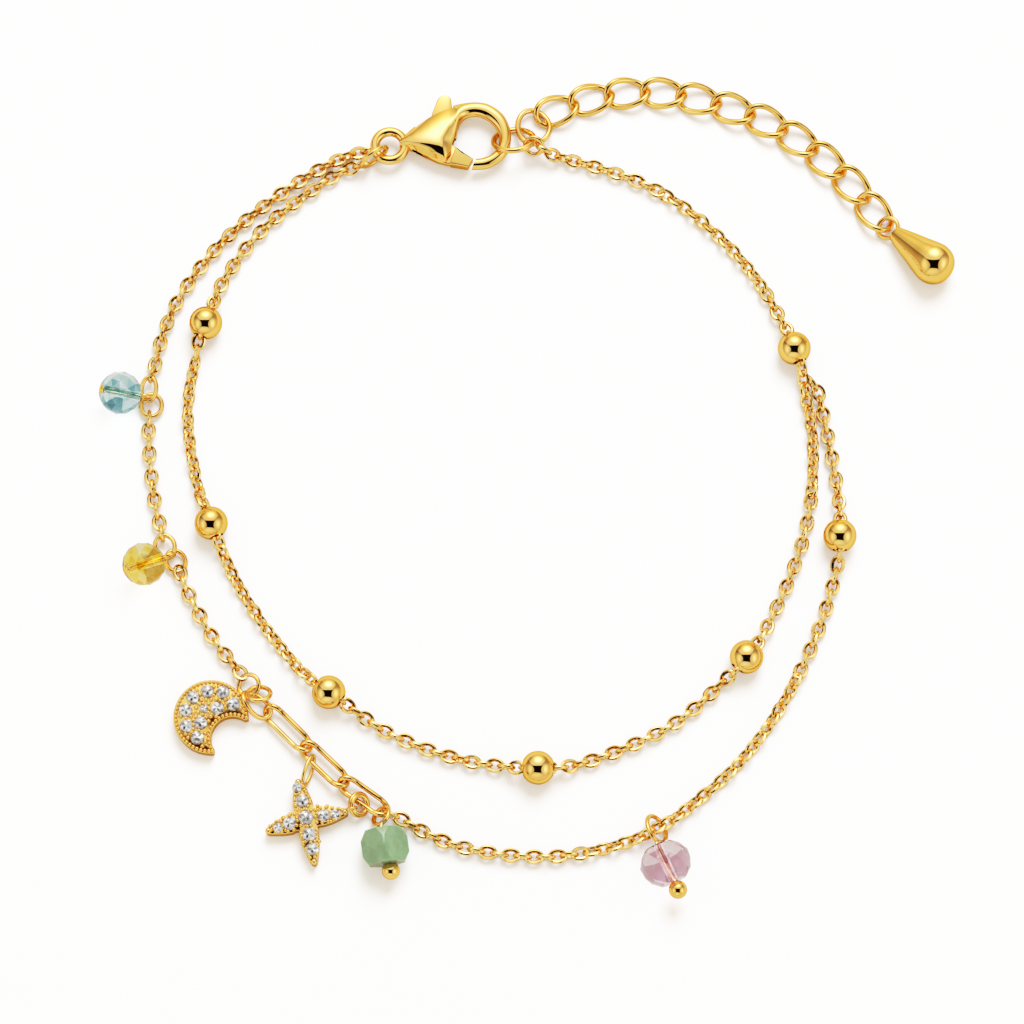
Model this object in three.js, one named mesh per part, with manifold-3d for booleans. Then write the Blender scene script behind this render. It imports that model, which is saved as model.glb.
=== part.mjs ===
// A two-strand charm bracelet with a lobster clasp and an extender chain, lying on a table.
// Millimetres, +Z up. The layout below has its own zero inside the loop; the outer group then
// moves the bracelet so that the origin is the middle of its underside.
import * as THREE from "three";
import { mergeVertices } from "three/addons/utils/BufferGeometryUtils.js";
import Module from "manifold-3d";

const wasm = await Module();
wasm.setup();

// Driving dimensions
const CHAIN_DIAMETER = 1.0; // envelope of the fine cable chain
const CHAIN_HEIGHT = 0.62; // its middle above the table
const CHAIN_STEP = 2.9;
const CHAIN_SIDES = 8;
const BEAD_DIAMETER = 3.0;
const BEAD_BORE = 1.7;
const RING_STEPS = 16;
const WIRE_SIDES = 5;
const FINE_WIRE = 0.3; // headpins and the small rings
const LINK_WIRE = 0.38; // paperclip links
const EXTENDER_WIRE = 0.46;
const LINK_LENGTH = 4.39; // extender link, outside
const LINK_WIDTH = 3.14;
const LINK_TWIST = 0.42; // how far a curb link's wire rises and falls
const FLOOR_GAP = 0.02;
const CLASP_THICKNESS = 2.6;
const CLASP_MIDDLE = 1.3;
const HOOK_THICKNESS = 1.2;
const SLOT_HEIGHT = 1.1;
const LEVER_THICKNESS = 0.8;
const PIN_RADIUS = 0.32;
const LEVER_BORE = 0.5;
const LOOP_RADIUS = 0.53; // centreline of a ball charm's loop
const BALL_CRYSTAL = 3.9;
const PIN_BORE = 0.32; // radius of the drilled hole in stones
const CHARM_THICKNESS = 1.5;
const STONE_RISE = 0.32;

const gold = () =>
  new THREE.MeshStandardMaterial({ color: 0xe0ac3f, roughness: 0.12, metalness: 1 });
const glass = (color) =>
  new THREE.MeshStandardMaterial({ color, roughness: 0.05, metalness: 0, transparent: true, opacity: 0.8 });
const jade = () =>
  new THREE.MeshStandardMaterial({ color: 0x8fb286, roughness: 0.2, metalness: 0 });

const layout = new THREE.Group();
const Y_AXIS = new THREE.Vector3(0, 1, 0);

function add(name, geometry, material, position = [0, 0, 0]) {
  const mesh = new THREE.Mesh(geometry, material);
  mesh.name = name;
  mesh.position.set(...position);
  layout.add(mesh);
  return mesh;
}

// Rolls a piece about its own X, pitches it about its own Y, then turns it about Z.
function aim(mesh, { turn = 0, pitch = 0, roll = 0 }) {
  const rad = THREE.MathUtils.degToRad;
  mesh.rotation.set(rad(roll), rad(pitch), rad(turn), "ZYX");
  return mesh;
}

// Joining and cutting

function solidOf(geometry) {
  const bare = new THREE.BufferGeometry();
  bare.setAttribute("position", geometry.getAttribute("position").clone());
  if (geometry.index) bare.setIndex(geometry.index.clone());
  const merged = mergeVertices(bare, 1e-4);
  const vertProperties = merged.attributes.position.array;
  const triVerts = new Uint32Array(merged.index.array);
  return new wasm.Manifold(new wasm.Mesh({ numProp: 3, vertProperties, triVerts }));
}

function geometryOf(solid) {
  const mesh = solid.getMesh();
  const geometry = new THREE.BufferGeometry();
  geometry.setAttribute("position", new THREE.BufferAttribute(mesh.vertProperties, 3));
  geometry.setIndex(new THREE.BufferAttribute(mesh.triVerts, 1));
  geometry.computeVertexNormals();
  return geometry;
}

function joined(pieces) {
  return geometryOf(pieces.map(solidOf).reduce((whole, piece) => whole.add(piece)));
}

function cutFrom(body, cutters) {
  const left = cutters.map(solidOf).reduce((whole, cutter) => whole.subtract(cutter), solidOf(body));
  return geometryOf(left);
}

// Forms

function moved(geometry, [x, y, z]) {
  return geometry.translate(x, y, z);
}

function turned(geometry, { turn = 0, pitch = 0, roll = 0 }) {
  const rad = THREE.MathUtils.degToRad;
  const euler = new THREE.Euler(rad(roll), rad(pitch), rad(turn), "ZYX");
  return geometry.applyMatrix4(new THREE.Matrix4().makeRotationFromEuler(euler));
}

// A closed ring of round wire. The half sizes are the centreline's, straight adds flat sides,
// and twist raises and lowers the wire twice round, as on a curb link.
function ringOf({ long, wide = long, wire = FINE_WIRE, twist = 0, straight = 0 }) {
  const ring = new THREE.TorusGeometry(1, wire / 2, WIRE_SIDES, RING_STEPS);
  const at = ring.attributes.position;
  for (let i = 0; i < at.count; i += 1) {
    const angle = Math.atan2(at.getY(i), at.getX(i));
    const out = Math.hypot(at.getX(i), at.getY(i)) - 1;
    const across = new THREE.Vector2(wide * Math.cos(angle), long * Math.sin(angle)).normalize();
    const x = long * Math.cos(angle) + out * across.x + straight * Math.sign(Math.cos(angle));
    const y = wide * Math.sin(angle) + out * across.y;
    at.setXYZ(i, x, y, at.getZ(i) + twist * Math.sin(2 * angle));
  }
  return ring;
}

// A ring standing on its own as a piece.
function addRing(name, { at, turn, pitch, roll, ...form }) {
  return aim(add(name, ringOf(form), gold(), at), { turn, pitch, roll });
}

// A ring that belongs to a larger piece whose own zero is at the given place.
function ringWithin(zero, { at, turn, pitch, roll, ...form }) {
  const ring = turned(ringOf(form), { turn, pitch, roll });
  return moved(ring, at.map((value, i) => value - zero[i]));
}

// A straight round wire between two places, measured from the same zero.
function wireWithin(zero, from, to, radius = FINE_WIRE / 2) {
  const start = new THREE.Vector3(...from);
  const way = new THREE.Vector3(...to).sub(start);
  const rod = new THREE.CylinderGeometry(radius, radius, way.length(), 8);
  const tip = new THREE.Quaternion().setFromUnitVectors(Y_AXIS, way.clone().normalize());
  const middle = start.addScaledVector(way, 0.5).sub(new THREE.Vector3(...zero));
  return moved(rod.applyQuaternion(tip), middle.toArray());
}

// A tube of the fine chain's envelope along hand-placed points.
function chainTube(points) {
  const curve = new THREE.CatmullRomCurve3(points.map((p) => new THREE.Vector3(...p)), false, "centripetal");
  const section = new THREE.Shape();
  for (let i = 0; i < CHAIN_SIDES; i += 1) {
    const angle = (2 * Math.PI * (i + 0.5)) / CHAIN_SIDES;
    const x = (CHAIN_DIAMETER / 2) * Math.cos(angle);
    const y = (CHAIN_DIAMETER / 2) * Math.sin(angle);
    if (i === 0) section.moveTo(x, y);
    else section.lineTo(x, y);
  }
  const steps = Math.ceil(curve.getLength() / CHAIN_STEP);
  return new THREE.ExtrudeGeometry(section, { steps, extrudePath: curve, bevelEnabled: false });
}

// A profile of [radius, height] pairs turned about Y; it closes on itself or ends on the axis.
function turnedProfile(profile, sides) {
  return new THREE.LatheGeometry(profile.map(([r, h]) => new THREE.Vector2(r, h)), sides);
}

// A ball with a drilled hole along Y.
function drilledBall(diameter, bore, rings, sides) {
  const radius = diameter / 2;
  const end = Math.acos(bore / 2 / radius);
  const profile = [];
  for (let i = 0; i <= rings; i += 1) {
    const angle = -end + (2 * end * i) / rings;
    profile.push([radius * Math.cos(angle), radius * Math.sin(angle)]);
  }
  profile.push(profile[0]);
  return turnedProfile(profile, sides);
}

function pointYAlong(mesh, direction) {
  mesh.quaternion.setFromUnitVectors(Y_AXIS, new THREE.Vector3(...direction).normalize());
  return mesh;
}

// Routes of the fine chains, placed by hand: x, y, and z where the chain leaves the table.
const onTable = (pairs) => pairs.map(([x, y, z = CHAIN_HEIGHT]) => [x, y, z]);

const BEADS = {
  gold_bead_1: { at: [-27.75, 17.3], along: [-0.38, -1] },
  gold_bead_2: { at: [-26.95, -1.4], along: [0.4, -1] },
  gold_bead_3: { at: [-16.25, -16.85], along: [1, -0.72] },
  gold_bead_4: { at: [2.3, -23.65], along: [1, 0] },
  gold_bead_5: { at: [20.85, -13.65], along: [0.8, 1] },
  gold_bead_6: { at: [25.55, 14.9], along: [-0.36, 1] },
  gold_bead_7: { at: [29.35, -2.55], along: [0.03, 1] },
};
const BEAD_HEIGHT = BEAD_DIAMETER / 2 + FLOOR_GAP;
const LEAD_IN = 1.7; // the chain runs straight this far each side of a bead's middle

// The three points that take a chain straight through a bead.
function throughBead(name, way = 1) {
  const { at, along } = BEADS[name];
  const run = new THREE.Vector2(...along).normalize().multiplyScalar(LEAD_IN * way);
  return [-1, 0, 1].map((s) => [at[0] + s * run.x, at[1] + s * run.y, BEAD_HEIGHT - 0.06 * Math.abs(s)]);
}

const middleOf = (name) => throughBead(name)[1];

const INNER_LEFT = [
  ...onTable([
    [-14.1, 32.45, 0.8],
    [-15.7, 31.9],
    [-18.65, 29.9],
    [-21.85, 27.3],
    [-24.15, 24.8],
    [-26.1, 21.8],
    [-27.0, 19.9, 0.85],
  ]),
  ...throughBead("gold_bead_1"),
  ...onTable([
    [-28.65, 14.0, 0.85],
    [-29.05, 12.2],
    [-29.3, 9.2],
    [-29.05, 6.2],
    [-28.5, 3.2],
    [-28.0, 1.3, 0.8],
  ]),
  ...throughBead("gold_bead_2"),
  ...onTable([
    [-25.75, -4.3, 0.85],
    [-24.85, -5.95],
    [-22.7, -9.5],
    [-20.45, -12.7],
    [-18.9, -14.6, 0.8],
  ]),
  ...throughBead("gold_bead_3"),
  ...onTable([
    [-13.5, -18.75, 0.85],
    [-11.45, -20.1],
    [-7.8, -21.75],
    [-3.95, -22.9],
    [-0.8, -23.4, 0.85],
  ]),
  throughBead("gold_bead_4")[0],
  [2.15, -23.65, BEAD_HEIGHT],
];

const INNER_RIGHT = [
  [2.45, -23.65, BEAD_HEIGHT],
  throughBead("gold_bead_4")[2],
  ...onTable([
    [5.3, -23.35, 0.85],
    [6.9, -22.9],
    [10.8, -21.4],
    [14.6, -19.4],
    [17.55, -16.95],
    [18.95, -15.6, 0.85],
  ]),
  ...throughBead("gold_bead_5"),
  ...onTable([
    [22.7, -10.9, 0.85],
    [23.6, -9.1],
    [24.95, -6.1],
    [26.3, -2.0],
    [27.0, 2.1],
    [27.1, 7.0],
    [26.5, 10.9, 0.85],
  ]),
  throughBead("gold_bead_6")[0],
  [25.6, 14.75, BEAD_HEIGHT],
];

const SHARED = [
  [25.5, 15.05, BEAD_HEIGHT],
  throughBead("gold_bead_6")[2],
  ...onTable([
    [24.35, 17.9, 0.85],
    [23.45, 19.75],
    [21.2, 23.15],
    [18.25, 26.35],
    [15.05, 29.05],
    [11.5, 31.05],
    [7.4, 32.5],
    [5.3, 33.1, 0.7],
    [3.2, 33.6, 1.35],
  ]),
];

const OUTER_TOP = onTable([
  [-12.9, 34.05, 0.55],
  [-16.0, 33.1],
  [-18.85, 31.45],
  [-22.4, 28.9],
  [-25.9, 25.8],
  [-28.65, 22.45],
  [-30.85, 18.75],
  [-32.1, 14.9],
  [-32.35, 13.05],
]);

const OUTER_LEFT = onTable([
  [-32.45, 8.15],
  [-32.7, 5.3],
  [-32.4, 2.7],
  [-31.85, -0.1],
  [-31.2, -1.75],
]);

const OUTER_LOW = onTable([
  [-29.65, -6.15],
  [-28.8, -7.85],
  [-27.4, -10.55],
  [-26.1, -12.6],
  [-24.45, -14.55],
]);

const OUTER_RIGHT = [
  ...onTable([
    [-9.9, -27.95, 0.8],
    [-8.1, -29.0],
    [-5.0, -30.45],
    [-0.8, -31.25],
    [3.5, -31.45],
    [7.9, -30.8],
    [11.3, -29.75, 0.85],
    [12.62, -29.08, 1.08],
    [14.2, -28.15, 0.85],
    [16.8, -26.1],
    [19.8, -23.4],
    [22.35, -20.3],
    [24.55, -16.9],
    [26.5, -13.0],
    [28.15, -8.8],
    [29.0, -5.7, 0.85],
  ]),
  ...throughBead("gold_bead_7"),
  ...onTable([
    [29.4, 0.6, 0.85],
    [29.25, 2.2],
    [28.55, 6.6],
    [28.1, 9.0],
    [27.75, 11.1, 0.9],
  ]),
];

const CHAINS = {
  inner_chain_left: INNER_LEFT,
  inner_chain_right: INNER_RIGHT,
  shared_chain: SHARED,
  outer_chain_top: OUTER_TOP,
  outer_chain_left: OUTER_LEFT,
  outer_chain_low: OUTER_LOW,
  outer_chain_right: OUTER_RIGHT,
};

function addChains() {
  for (const [name, route] of Object.entries(CHAINS)) add(name, chainTube(route), gold());
}

function addGoldBeads() {
  for (const [name, { along }] of Object.entries(BEADS)) {
    const bead = add(name, drilledBall(BEAD_DIAMETER, BEAD_BORE, 7, 14), gold(), middleOf(name));
    pointYAlong(bead, [...along, 0]);
  }
}

// Clasp

function outline(points) {
  const shape = new THREE.Shape();
  points.forEach(([x, y], i) => (i === 0 ? shape.moveTo(x, y) : shape.lineTo(x, y)));
  return shape;
}

// A flat outline made solid about the middle height, its edges rounded by a bevel.
function slab(points, thickness, bevel, middle = CLASP_MIDDLE, bevelSegments = 2) {
  const depth = thickness - 2 * bevel;
  const geometry = new THREE.ExtrudeGeometry(outline(points), {
    depth,
    bevelEnabled: bevel > 0,
    bevelThickness: bevel,
    bevelSize: bevel,
    bevelOffset: -bevel,
    bevelSegments,
    steps: 1,
  });
  return moved(geometry, [0, 0, middle - depth / 2]);
}

function addClasp() {
  const pivot = [-6.6, 34.8];
  const body = slab(
    [
      [-10.2, 34.1],
      [-9.55, 33.75],
      [-8.45, 33.0],
      [-7.3, 32.35],
      [-6.0, 32.2],
      [-5.35, 32.7],
      [-5.1, 33.9],
      [-5.05, 34.9],
      [-4.75, 36.1],
      [-4.9, 38.15],
      [-5.7, 37.95],
      [-7.3, 37.2],
      [-8.6, 36.25],
      [-9.7, 35.4],
      [-10.2, 35.0],
    ],
    CLASP_THICKNESS,
    0.55,
  );
  const hook = slab(
    [
      [-5.6, 37.6],
      [-4.3, 38.35],
      [-2.95, 38.45],
      [-1.55, 37.95],
      [-0.6, 36.95],
      [-0.1, 35.6],
      [-0.1, 34.35],
      [-0.45, 33.4],
      [-1.25, 32.6],
      [-2.45, 32.0],
      [-3.78, 32.02],
      [-3.12, 33.0],
      [-2.3, 33.15],
      [-1.45, 33.85],
      [-1.15, 34.75],
      [-1.35, 35.65],
      [-2.05, 36.6],
      [-3.1, 37.05],
      [-4.3, 36.85],
      [-5.0, 36.3],
    ],
    HOOK_THICKNESS,
    0.3,
  );
  const ring = moved(ringOf({ long: 1.28, wide: 1.28, wire: 0.78 }), [-11.18, 34.35, CLASP_MIDDLE]);
  const slot = slab(
    [
      [-5.5, 31.0],
      [-3.9, 31.0],
      [-3.9, 34.9],
      [-5.2, 35.0],
      [-5.2, 39.0],
      [-7.9, 39.0],
      [-8.6, 36.6],
      [-8.6, 34.0],
      [-7.0, 31.0],
    ],
    SLOT_HEIGHT,
    0,
  );
  const pin = new THREE.CylinderGeometry(PIN_RADIUS, PIN_RADIUS, CLASP_THICKNESS - 0.1, 10);
  moved(pin.rotateX(Math.PI / 2), [...pivot, CLASP_MIDDLE]);
  const casting = joined([cutFrom(joined([body, hook]), [slot]), ring, pin]);
  add("clasp_body", casting, gold());

  const lever = slab(
    [
      [-7.1, 36.4],
      [-7.25, 34.9],
      [-7.0, 34.1],
      [-6.4, 33.4],
      [-5.85, 32.35],
      [-4.02, 32.1],
      [-3.55, 32.85],
      [-4.55, 33.45],
      [-5.2, 34.0],
      [-5.75, 34.6],
      [-5.8, 36.5],
      [-5.45, 37.8],
      [-5.6, 38.5],
      [-6.0, 39.0],
      [-6.5, 39.0],
      [-6.9, 38.6],
      [-7.05, 37.6],
    ],
    LEVER_THICKNESS,
    0.12,
    CLASP_MIDDLE,
    1,
  );
  const bore = new THREE.CylinderGeometry(LEVER_BORE, LEVER_BORE, CLASP_THICKNESS, 12);
  moved(bore.rotateX(Math.PI / 2), [...pivot, CLASP_MIDDLE]);
  add("clasp_lever", cutFrom(lever, [bore]), gold());

  addRing("clasp_strand_ring", { long: 1.385, wire: 0.33, at: [-12.63, 33.1, 1.6], turn: 35.5, roll: 90 });
  addRing("clasp_jump_ring", { long: 1.85, wire: 0.42, at: [-0.07, 34.72, 1.46], turn: 8, roll: -41 });
  addRing("chain_end_ring", { long: 0.78, at: [1.92, 34.2, 1.86], turn: -15, pitch: 1, roll: 36 });
}

// Extender: the first link hangs on the jump ring, the rest follow a gentle arc.
const EXTENDER_HEIGHT = LINK_TWIST + EXTENDER_WIRE / 2 + FLOOR_GAP;
const EXTENDER = [
  [4.09, 37.88],
  [7.3, 38.99],
  [10.6, 39.56],
  [13.94, 39.55],
  [17.2, 38.95],
  [20.35, 38.0],
  [23.4, 36.75],
  [26.25, 35.0],
  [28.8, 32.95],
  [31.15, 30.6],
  [33.15, 28.0],
];

function addExtender() {
  const long = (LINK_LENGTH - EXTENDER_WIRE) / 2;
  const wide = (LINK_WIDTH - EXTENDER_WIRE) / 2;
  const form = { wire: EXTENDER_WIRE, twist: LINK_TWIST };
  const first = { wire: 0.42, long: 1.74, wide: 1.4, at: [2.03, 36.29, 0.92], turn: 97, pitch: 10, roll: 3 };
  addRing("extender_link_1", { ...form, ...first });
  EXTENDER.forEach(([x, y], i) => {
    const before = EXTENDER[Math.max(i - 1, 0)];
    const after = EXTENDER[Math.min(i + 1, EXTENDER.length - 1)];
    const turn = THREE.MathUtils.radToDeg(Math.atan2(after[1] - before[1], after[0] - before[0]));
    const at = [x, y, EXTENDER_HEIGHT];
    addRing(`extender_link_${i + 2}`, { ...form, twist: -LINK_TWIST, long, wide, at, turn });
  });
}

// A solid teardrop whose eye goes through the last link. It lies on its round end.
function addEndDrop() {
  const body = turnedProfile(
    [
      [0, 0],
      [0.62, 0],
      [0.72, 0.12],
      [1.1, 1.4],
      [1.52, 3.0],
      [1.82, 4.1],
      [1.93, 4.75],
      [1.78, 5.6],
      [1.3, 6.25],
      [0.6, 6.6],
      [0, 6.68],
    ],
    14,
  );
  body.rotateZ(-Math.PI / 2);
  const eye = moved(turned(ringOf({ long: 0.95, wire: 0.42 }), { roll: 18 }), [-0.8, 0, 0]);
  const drop = add("end_drop", joined([body, eye]), gold(), [34.93, 26.03, 0.82]);
  aim(drop, { turn: -43.8, pitch: -14 });
}

// Charms on headpins

// A ball-ended pin through a stone, then a short wire down to its loop.
function addHeadpin(name, zero, { ball, tip, exit, loop }) {
  const rad = THREE.MathUtils.degToRad;
  const near = new THREE.Vector3(-(loop.long - 0.02), 0, 0);
  near.applyEuler(new THREE.Euler(rad(loop.roll), rad(loop.pitch), rad(loop.turn), "ZYX"));
  near.add(new THREE.Vector3(...loop.at));
  const knob = new THREE.SphereGeometry(ball, 12, 8);
  const head = moved(knob, tip.map((value, i) => value - zero[i]));
  const pieces = [head, wireWithin(zero, tip, exit), ringWithin(zero, loop)];
  if (near.distanceTo(new THREE.Vector3(...exit)) > 0.05) {
    const elbow = moved(new THREE.SphereGeometry(FINE_WIRE / 2, 8, 6), exit.map((v, i) => v - zero[i]));
    pieces.push(elbow, wireWithin(zero, exit, near.toArray()));
  }
  add(name, joined(pieces), gold(), zero);
}

// A faceted ball with a drilled hole along X.
function facetedBall(radius) {
  const bands = 6;
  const end = Math.acos(0.78 / radius);
  const half = radius * Math.sin(end);
  const profile = [[PIN_BORE, -half]];
  for (let i = 0; i <= bands; i += 1) {
    const angle = -end + (2 * end * i) / bands;
    profile.push([radius * Math.cos(angle), radius * Math.sin(angle)]);
  }
  profile.push([PIN_BORE, half], [PIN_BORE, -half]);
  return turnedProfile(profile, 10).rotateZ(-Math.PI / 2);
}

function addBallCharm(name, colour, { loop, turn, tilt, upper, lower }) {
  const radius = BALL_CRYSTAL / 2;
  const reach = radius + LOOP_RADIUS + FINE_WIRE / 2 + 0.05;
  const back = THREE.MathUtils.degToRad(tilt);
  const ahead = THREE.MathUtils.degToRad(turn);
  const way = new THREE.Vector3(
    Math.cos(back) * Math.cos(ahead),
    Math.cos(back) * Math.sin(ahead),
    -Math.sin(back),
  );
  const middle = new THREE.Vector3(loop[0], loop[1], 0).addScaledVector(way, -reach);
  middle.z = radius + FLOOR_GAP;
  const along = (distance) => middle.clone().addScaledVector(way, distance).toArray();
  const zero = middle.toArray();
  aim(add(`${name}_crystal`, facetedBall(radius), glass(colour), zero), { turn, pitch: tilt });
  addHeadpin(`${name}_headpin`, zero, {
    ball: 0.28,
    tip: along(-radius - 0.14),
    exit: along(reach - LOOP_RADIUS + 0.02),
    loop: { long: LOOP_RADIUS, at: along(reach), turn, pitch: tilt, roll: 90 },
  });
  addRing(`${name}_ring_upper`, upper);
  addRing(`${name}_ring_lower`, lower);
}

function addBallCharms() {
  addBallCharm("blue", 0x9fd3dc, {
    loop: [-32.95, 10.5],
    turn: -4,
    tilt: 26,
    upper: { long: 1.0, wide: 0.7, at: [-32.35, 11.04, 1.02], turn: 86, roll: -2 },
    lower: { long: 1.02, wide: 0.95, at: [-32.2, 9.87, 0.57], turn: -94, pitch: 2, roll: -1 },
  });
  addBallCharm("yellow", 0xf0cf52, {
    loop: [-30.75, -4.3],
    turn: 25,
    tilt: 26,
    upper: { long: 1.0, wide: 0.85, at: [-30.4, -3.48, 0.97], turn: 109, pitch: 4, roll: -4 },
    lower: { long: 1.0, wide: 0.85, at: [-29.86, -4.5, 0.52], turn: -63, pitch: 5, roll: -3 },
  });
}

// A rondelle: flat ends, a waist of narrow facets, and a drilled hole along X.
function rondelle(radius, half, table) {
  const profile = [
    [PIN_BORE, -half],
    [table, -half],
    [radius * 0.82, -half * 0.62],
    [radius, -half * 0.16],
    [radius, half * 0.16],
    [radius * 0.82, half * 0.62],
    [table, half],
    [PIN_BORE, half],
    [PIN_BORE, -half],
  ];
  return turnedProfile(profile, 12).rotateZ(-Math.PI / 2);
}

function addHangingCharms() {
  // Green cube with cut corners, on a pin that ends in a ball.
  const cube = slab(
    [
      [-1.45, -1.45],
      [1.45, -1.45],
      [1.95, -1.0],
      [1.95, 1.0],
      [1.45, 1.45],
      [-1.45, 1.45],
      [-1.95, 1.0],
      [-1.95, -1.0],
    ],
    3.6,
    0.45,
    0,
    1,
  );
  const bore = new THREE.CylinderGeometry(PIN_BORE, PIN_BORE, 6, 8);
  const greenAt = [-11.15, -30.78, 1.8 + FLOOR_GAP];
  aim(add("green_cube", cutFrom(cube, [bore]), jade(), greenAt), { turn: 14 });
  addHeadpin("green_headpin", greenAt, {
    ball: 0.76,
    tip: [-10.63, -32.88, greenAt[2]],
    exit: [-11.54, -29.22, greenAt[2]],
    loop: { long: 0.86, at: [-11.54, -27.9, 1.02], turn: 98, pitch: 36, roll: -34 },
  });

  const pinkAt = [13.48, -32.32, 2.35 + FLOOR_GAP];
  aim(add("pink_rondelle", rondelle(2.35, 1.76, 1.2), glass(0xe9b6cd), pinkAt), { turn: 114.2, roll: 15 });
  addHeadpin("pink_headpin", pinkAt, {
    ball: 0.82,
    tip: [14.52, -34.64, pinkAt[2]],
    exit: [12.68, -30.54, pinkAt[2]],
    loop: { long: 1.32, wide: 1.2, at: [12.74, -29.1, 1.2], turn: 97, pitch: 24, roll: 48 },
  });
}

// Paperclip links, end to end

const PAPERCLIPS = [
  { straight: 1.9, at: [-19.88, -20.0, 0.72], turn: -45, pitch: -2, roll: -1 },
  { straight: 1.9, at: [-16.6, -23.24, 0.87], turn: -44, pitch: -2, roll: 1 },
  { straight: 1.75, at: [-13.08, -26.11, 0.83], turn: -35, pitch: 2, roll: 2 },
];

function addPaperclips() {
  PAPERCLIPS.forEach((pose, i) => {
    const form = { long: 0.78, wide: 0.62, wire: LINK_WIRE, twist: -0.34 };
    addRing(`paperclip_link_${i + 1}`, { ...form, ...pose });
  });
}

// Pave charms

// A round stone seen from above: a crown of eight facets and a flat table.
function stoneAt([x, y], diameter, top) {
  const stone = new THREE.CylinderGeometry(diameter * 0.27, diameter / 2, STONE_RISE, 8);
  return moved(stone.rotateX(Math.PI / 2), [x, y, top + STONE_RISE / 2 - 0.04]);
}

// An arc as a list of corners, from one angle to another.
function arc([x, y], radius, from, to, steps) {
  const corners = [];
  for (let i = 0; i <= steps; i += 1) {
    const angle = from + ((to - from) * i) / steps;
    corners.push([x + radius * Math.cos(angle), y + radius * Math.sin(angle)]);
  }
  return corners;
}

function addMoon() {
  const zero = [-26.7, -19.0, FLOOR_GAP];
  const outer = 3.32;
  const bite = [1.92, -1.87];
  const biteRadius = 1.88;
  const blunt = 0.06; // trims the horns' points
  const apart = Math.hypot(...bite);
  const toBite = Math.atan2(bite[1], bite[0]);
  const spread = Math.acos((apart ** 2 + outer ** 2 - biteRadius ** 2) / (2 * apart * outer)) + blunt;
  const rim = arc([0, 0], outer, toBite + spread, toBite - spread + 2 * Math.PI, 22);
  const angleFromBite = ([x, y]) => Math.atan2(y - bite[1], x - bite[0]);
  const from = angleFromBite(rim[rim.length - 1]);
  const to = angleFromBite(rim[0]);
  const inner = arc(bite, biteRadius, from, to > from ? to - 2 * Math.PI : to, 12).slice(1, -1);
  const plate = slab([...rim, ...inner], CHARM_THICKNESS, 0.16, CHARM_THICKNESS / 2, 1);
  const stones = [
    [-1.6, 1.7],
    [-0.35, 2.25],
    [1.05, 2.15],
    [2.0, 1.1],
    [0.55, 0.72],
    [-0.6, 0.68, 0.8],
    [-2.25, 0.55],
    [-2.15, -0.9],
    [-0.9, -0.6],
    [-1.15, -1.95],
  ].map(([x, y, d = 1.12]) => stoneAt([x, y], d, CHARM_THICKNESS));
  const bail = { long: 1.02, wide: 1.0, wire: 0.34, at: [-22.47, -16.96, 1.32], turn: -4, pitch: -6, roll: -42 };
  const lug = wireWithin(zero, [-24.1, -17.45, 0.95], [-23.5, -16.95, 1.2], 0.2);
  add("moon_charm", joined([plate, ...stones, ringWithin(zero, bail), lug]), gold(), zero);
  addRing("moon_ring", { long: 0.95, wide: 0.92, wire: 0.32, at: [-23.4, -16.06, 0.77], turn: -1, pitch: -21, roll: 5 });
  addRing("oval_link", {
    long: 1.45,
    wide: 0.66,
    wire: 0.36,
    twist: 0.2,
    at: [-21.87, -17.82, 1.35],
    turn: -25,
    pitch: 51,
    roll: -28,
  });
}

// Half the outline of a star's arm along X, from the middle to the tip, then mirrored.
function armOutline(reach) {
  const half = 0.95;
  const side = [
    [-0.6, half],
    [reach * 0.45, half * 0.86],
    [reach * 0.8, half * 0.52],
    [reach * 0.97, half * 0.28],
  ];
  const other = side.map(([x, y]) => [x, -y]);
  return [...other, [reach, 0], ...side.reverse()];
}

function addStar() {
  const zero = [-18.15, -28.1, FLOOR_GAP];
  const arms = [
    [3.55, 103],
    [3.75, 9],
    [4.25, -79],
    [3.75, 199],
  ].map(([reach, turn]) => {
    return turned(slab(armOutline(reach), CHARM_THICKNESS, 0.16, CHARM_THICKNESS / 2, 1), { turn });
  });
  const stones = [
    [-0.8, 2.7, 0.8],
    [-0.35, 1.5, 1.15],
    [0, 0, 1.25],
    [1.6, 0.2, 1.1],
    [2.6, 0.3, 0.9],
    [-1.45, -0.5, 1.15],
    [-2.45, -0.9, 0.8],
    [0.3, -1.5, 1.25],
    [0.6, -2.8, 1.1],
  ].map(([x, y, d]) => stoneAt([x, y], d, CHARM_THICKNESS));
  // The bail goes round the middle paperclip link; the tip loop takes the side ring.
  const bail = { long: 1.4, wide: 0.72, wire: 0.28, at: [-18.01, -23.8, 0.89], turn: 72, pitch: 2, roll: 90 };
  const tipLoop = { long: 0.44, wire: 0.28, at: [-14.17, -27.27, 1.25], turn: 11, pitch: -12, roll: 99 };
  const loops = [ringWithin(zero, bail), ringWithin(zero, tipLoop)];
  add("star_charm", joined([...arms, ...stones, ...loops]), gold(), zero);
  addRing("star_side_ring", { long: 0.92, wire: 0.32, at: [-13.51, -26.83, 0.82], turn: 55, pitch: 17, roll: 38 });
}

addChains();
addGoldBeads();
addClasp();
addExtender();
addEndDrop();
addBallCharms();
addHangingCharms();
addPaperclips();
addMoon();
addStar();

// The bracelet's frame: the middle of its underside is the origin.
const bracelet = new THREE.Group();
bracelet.add(layout);
layout.updateMatrixWorld(true);
const box = new THREE.Box3().setFromObject(layout, true);
layout.position.set(-(box.min.x + box.max.x) / 2, -(box.min.y + box.max.y) / 2, -box.min.z);

export default bracelet;
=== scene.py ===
"""A two-strand charm bracelet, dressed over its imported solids.

The fine chains become cable links, the charms get their pave and the glass its cut.
"""

import math

import bmesh
import bpy
from mathutils import Euler, Matrix, Vector


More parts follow.
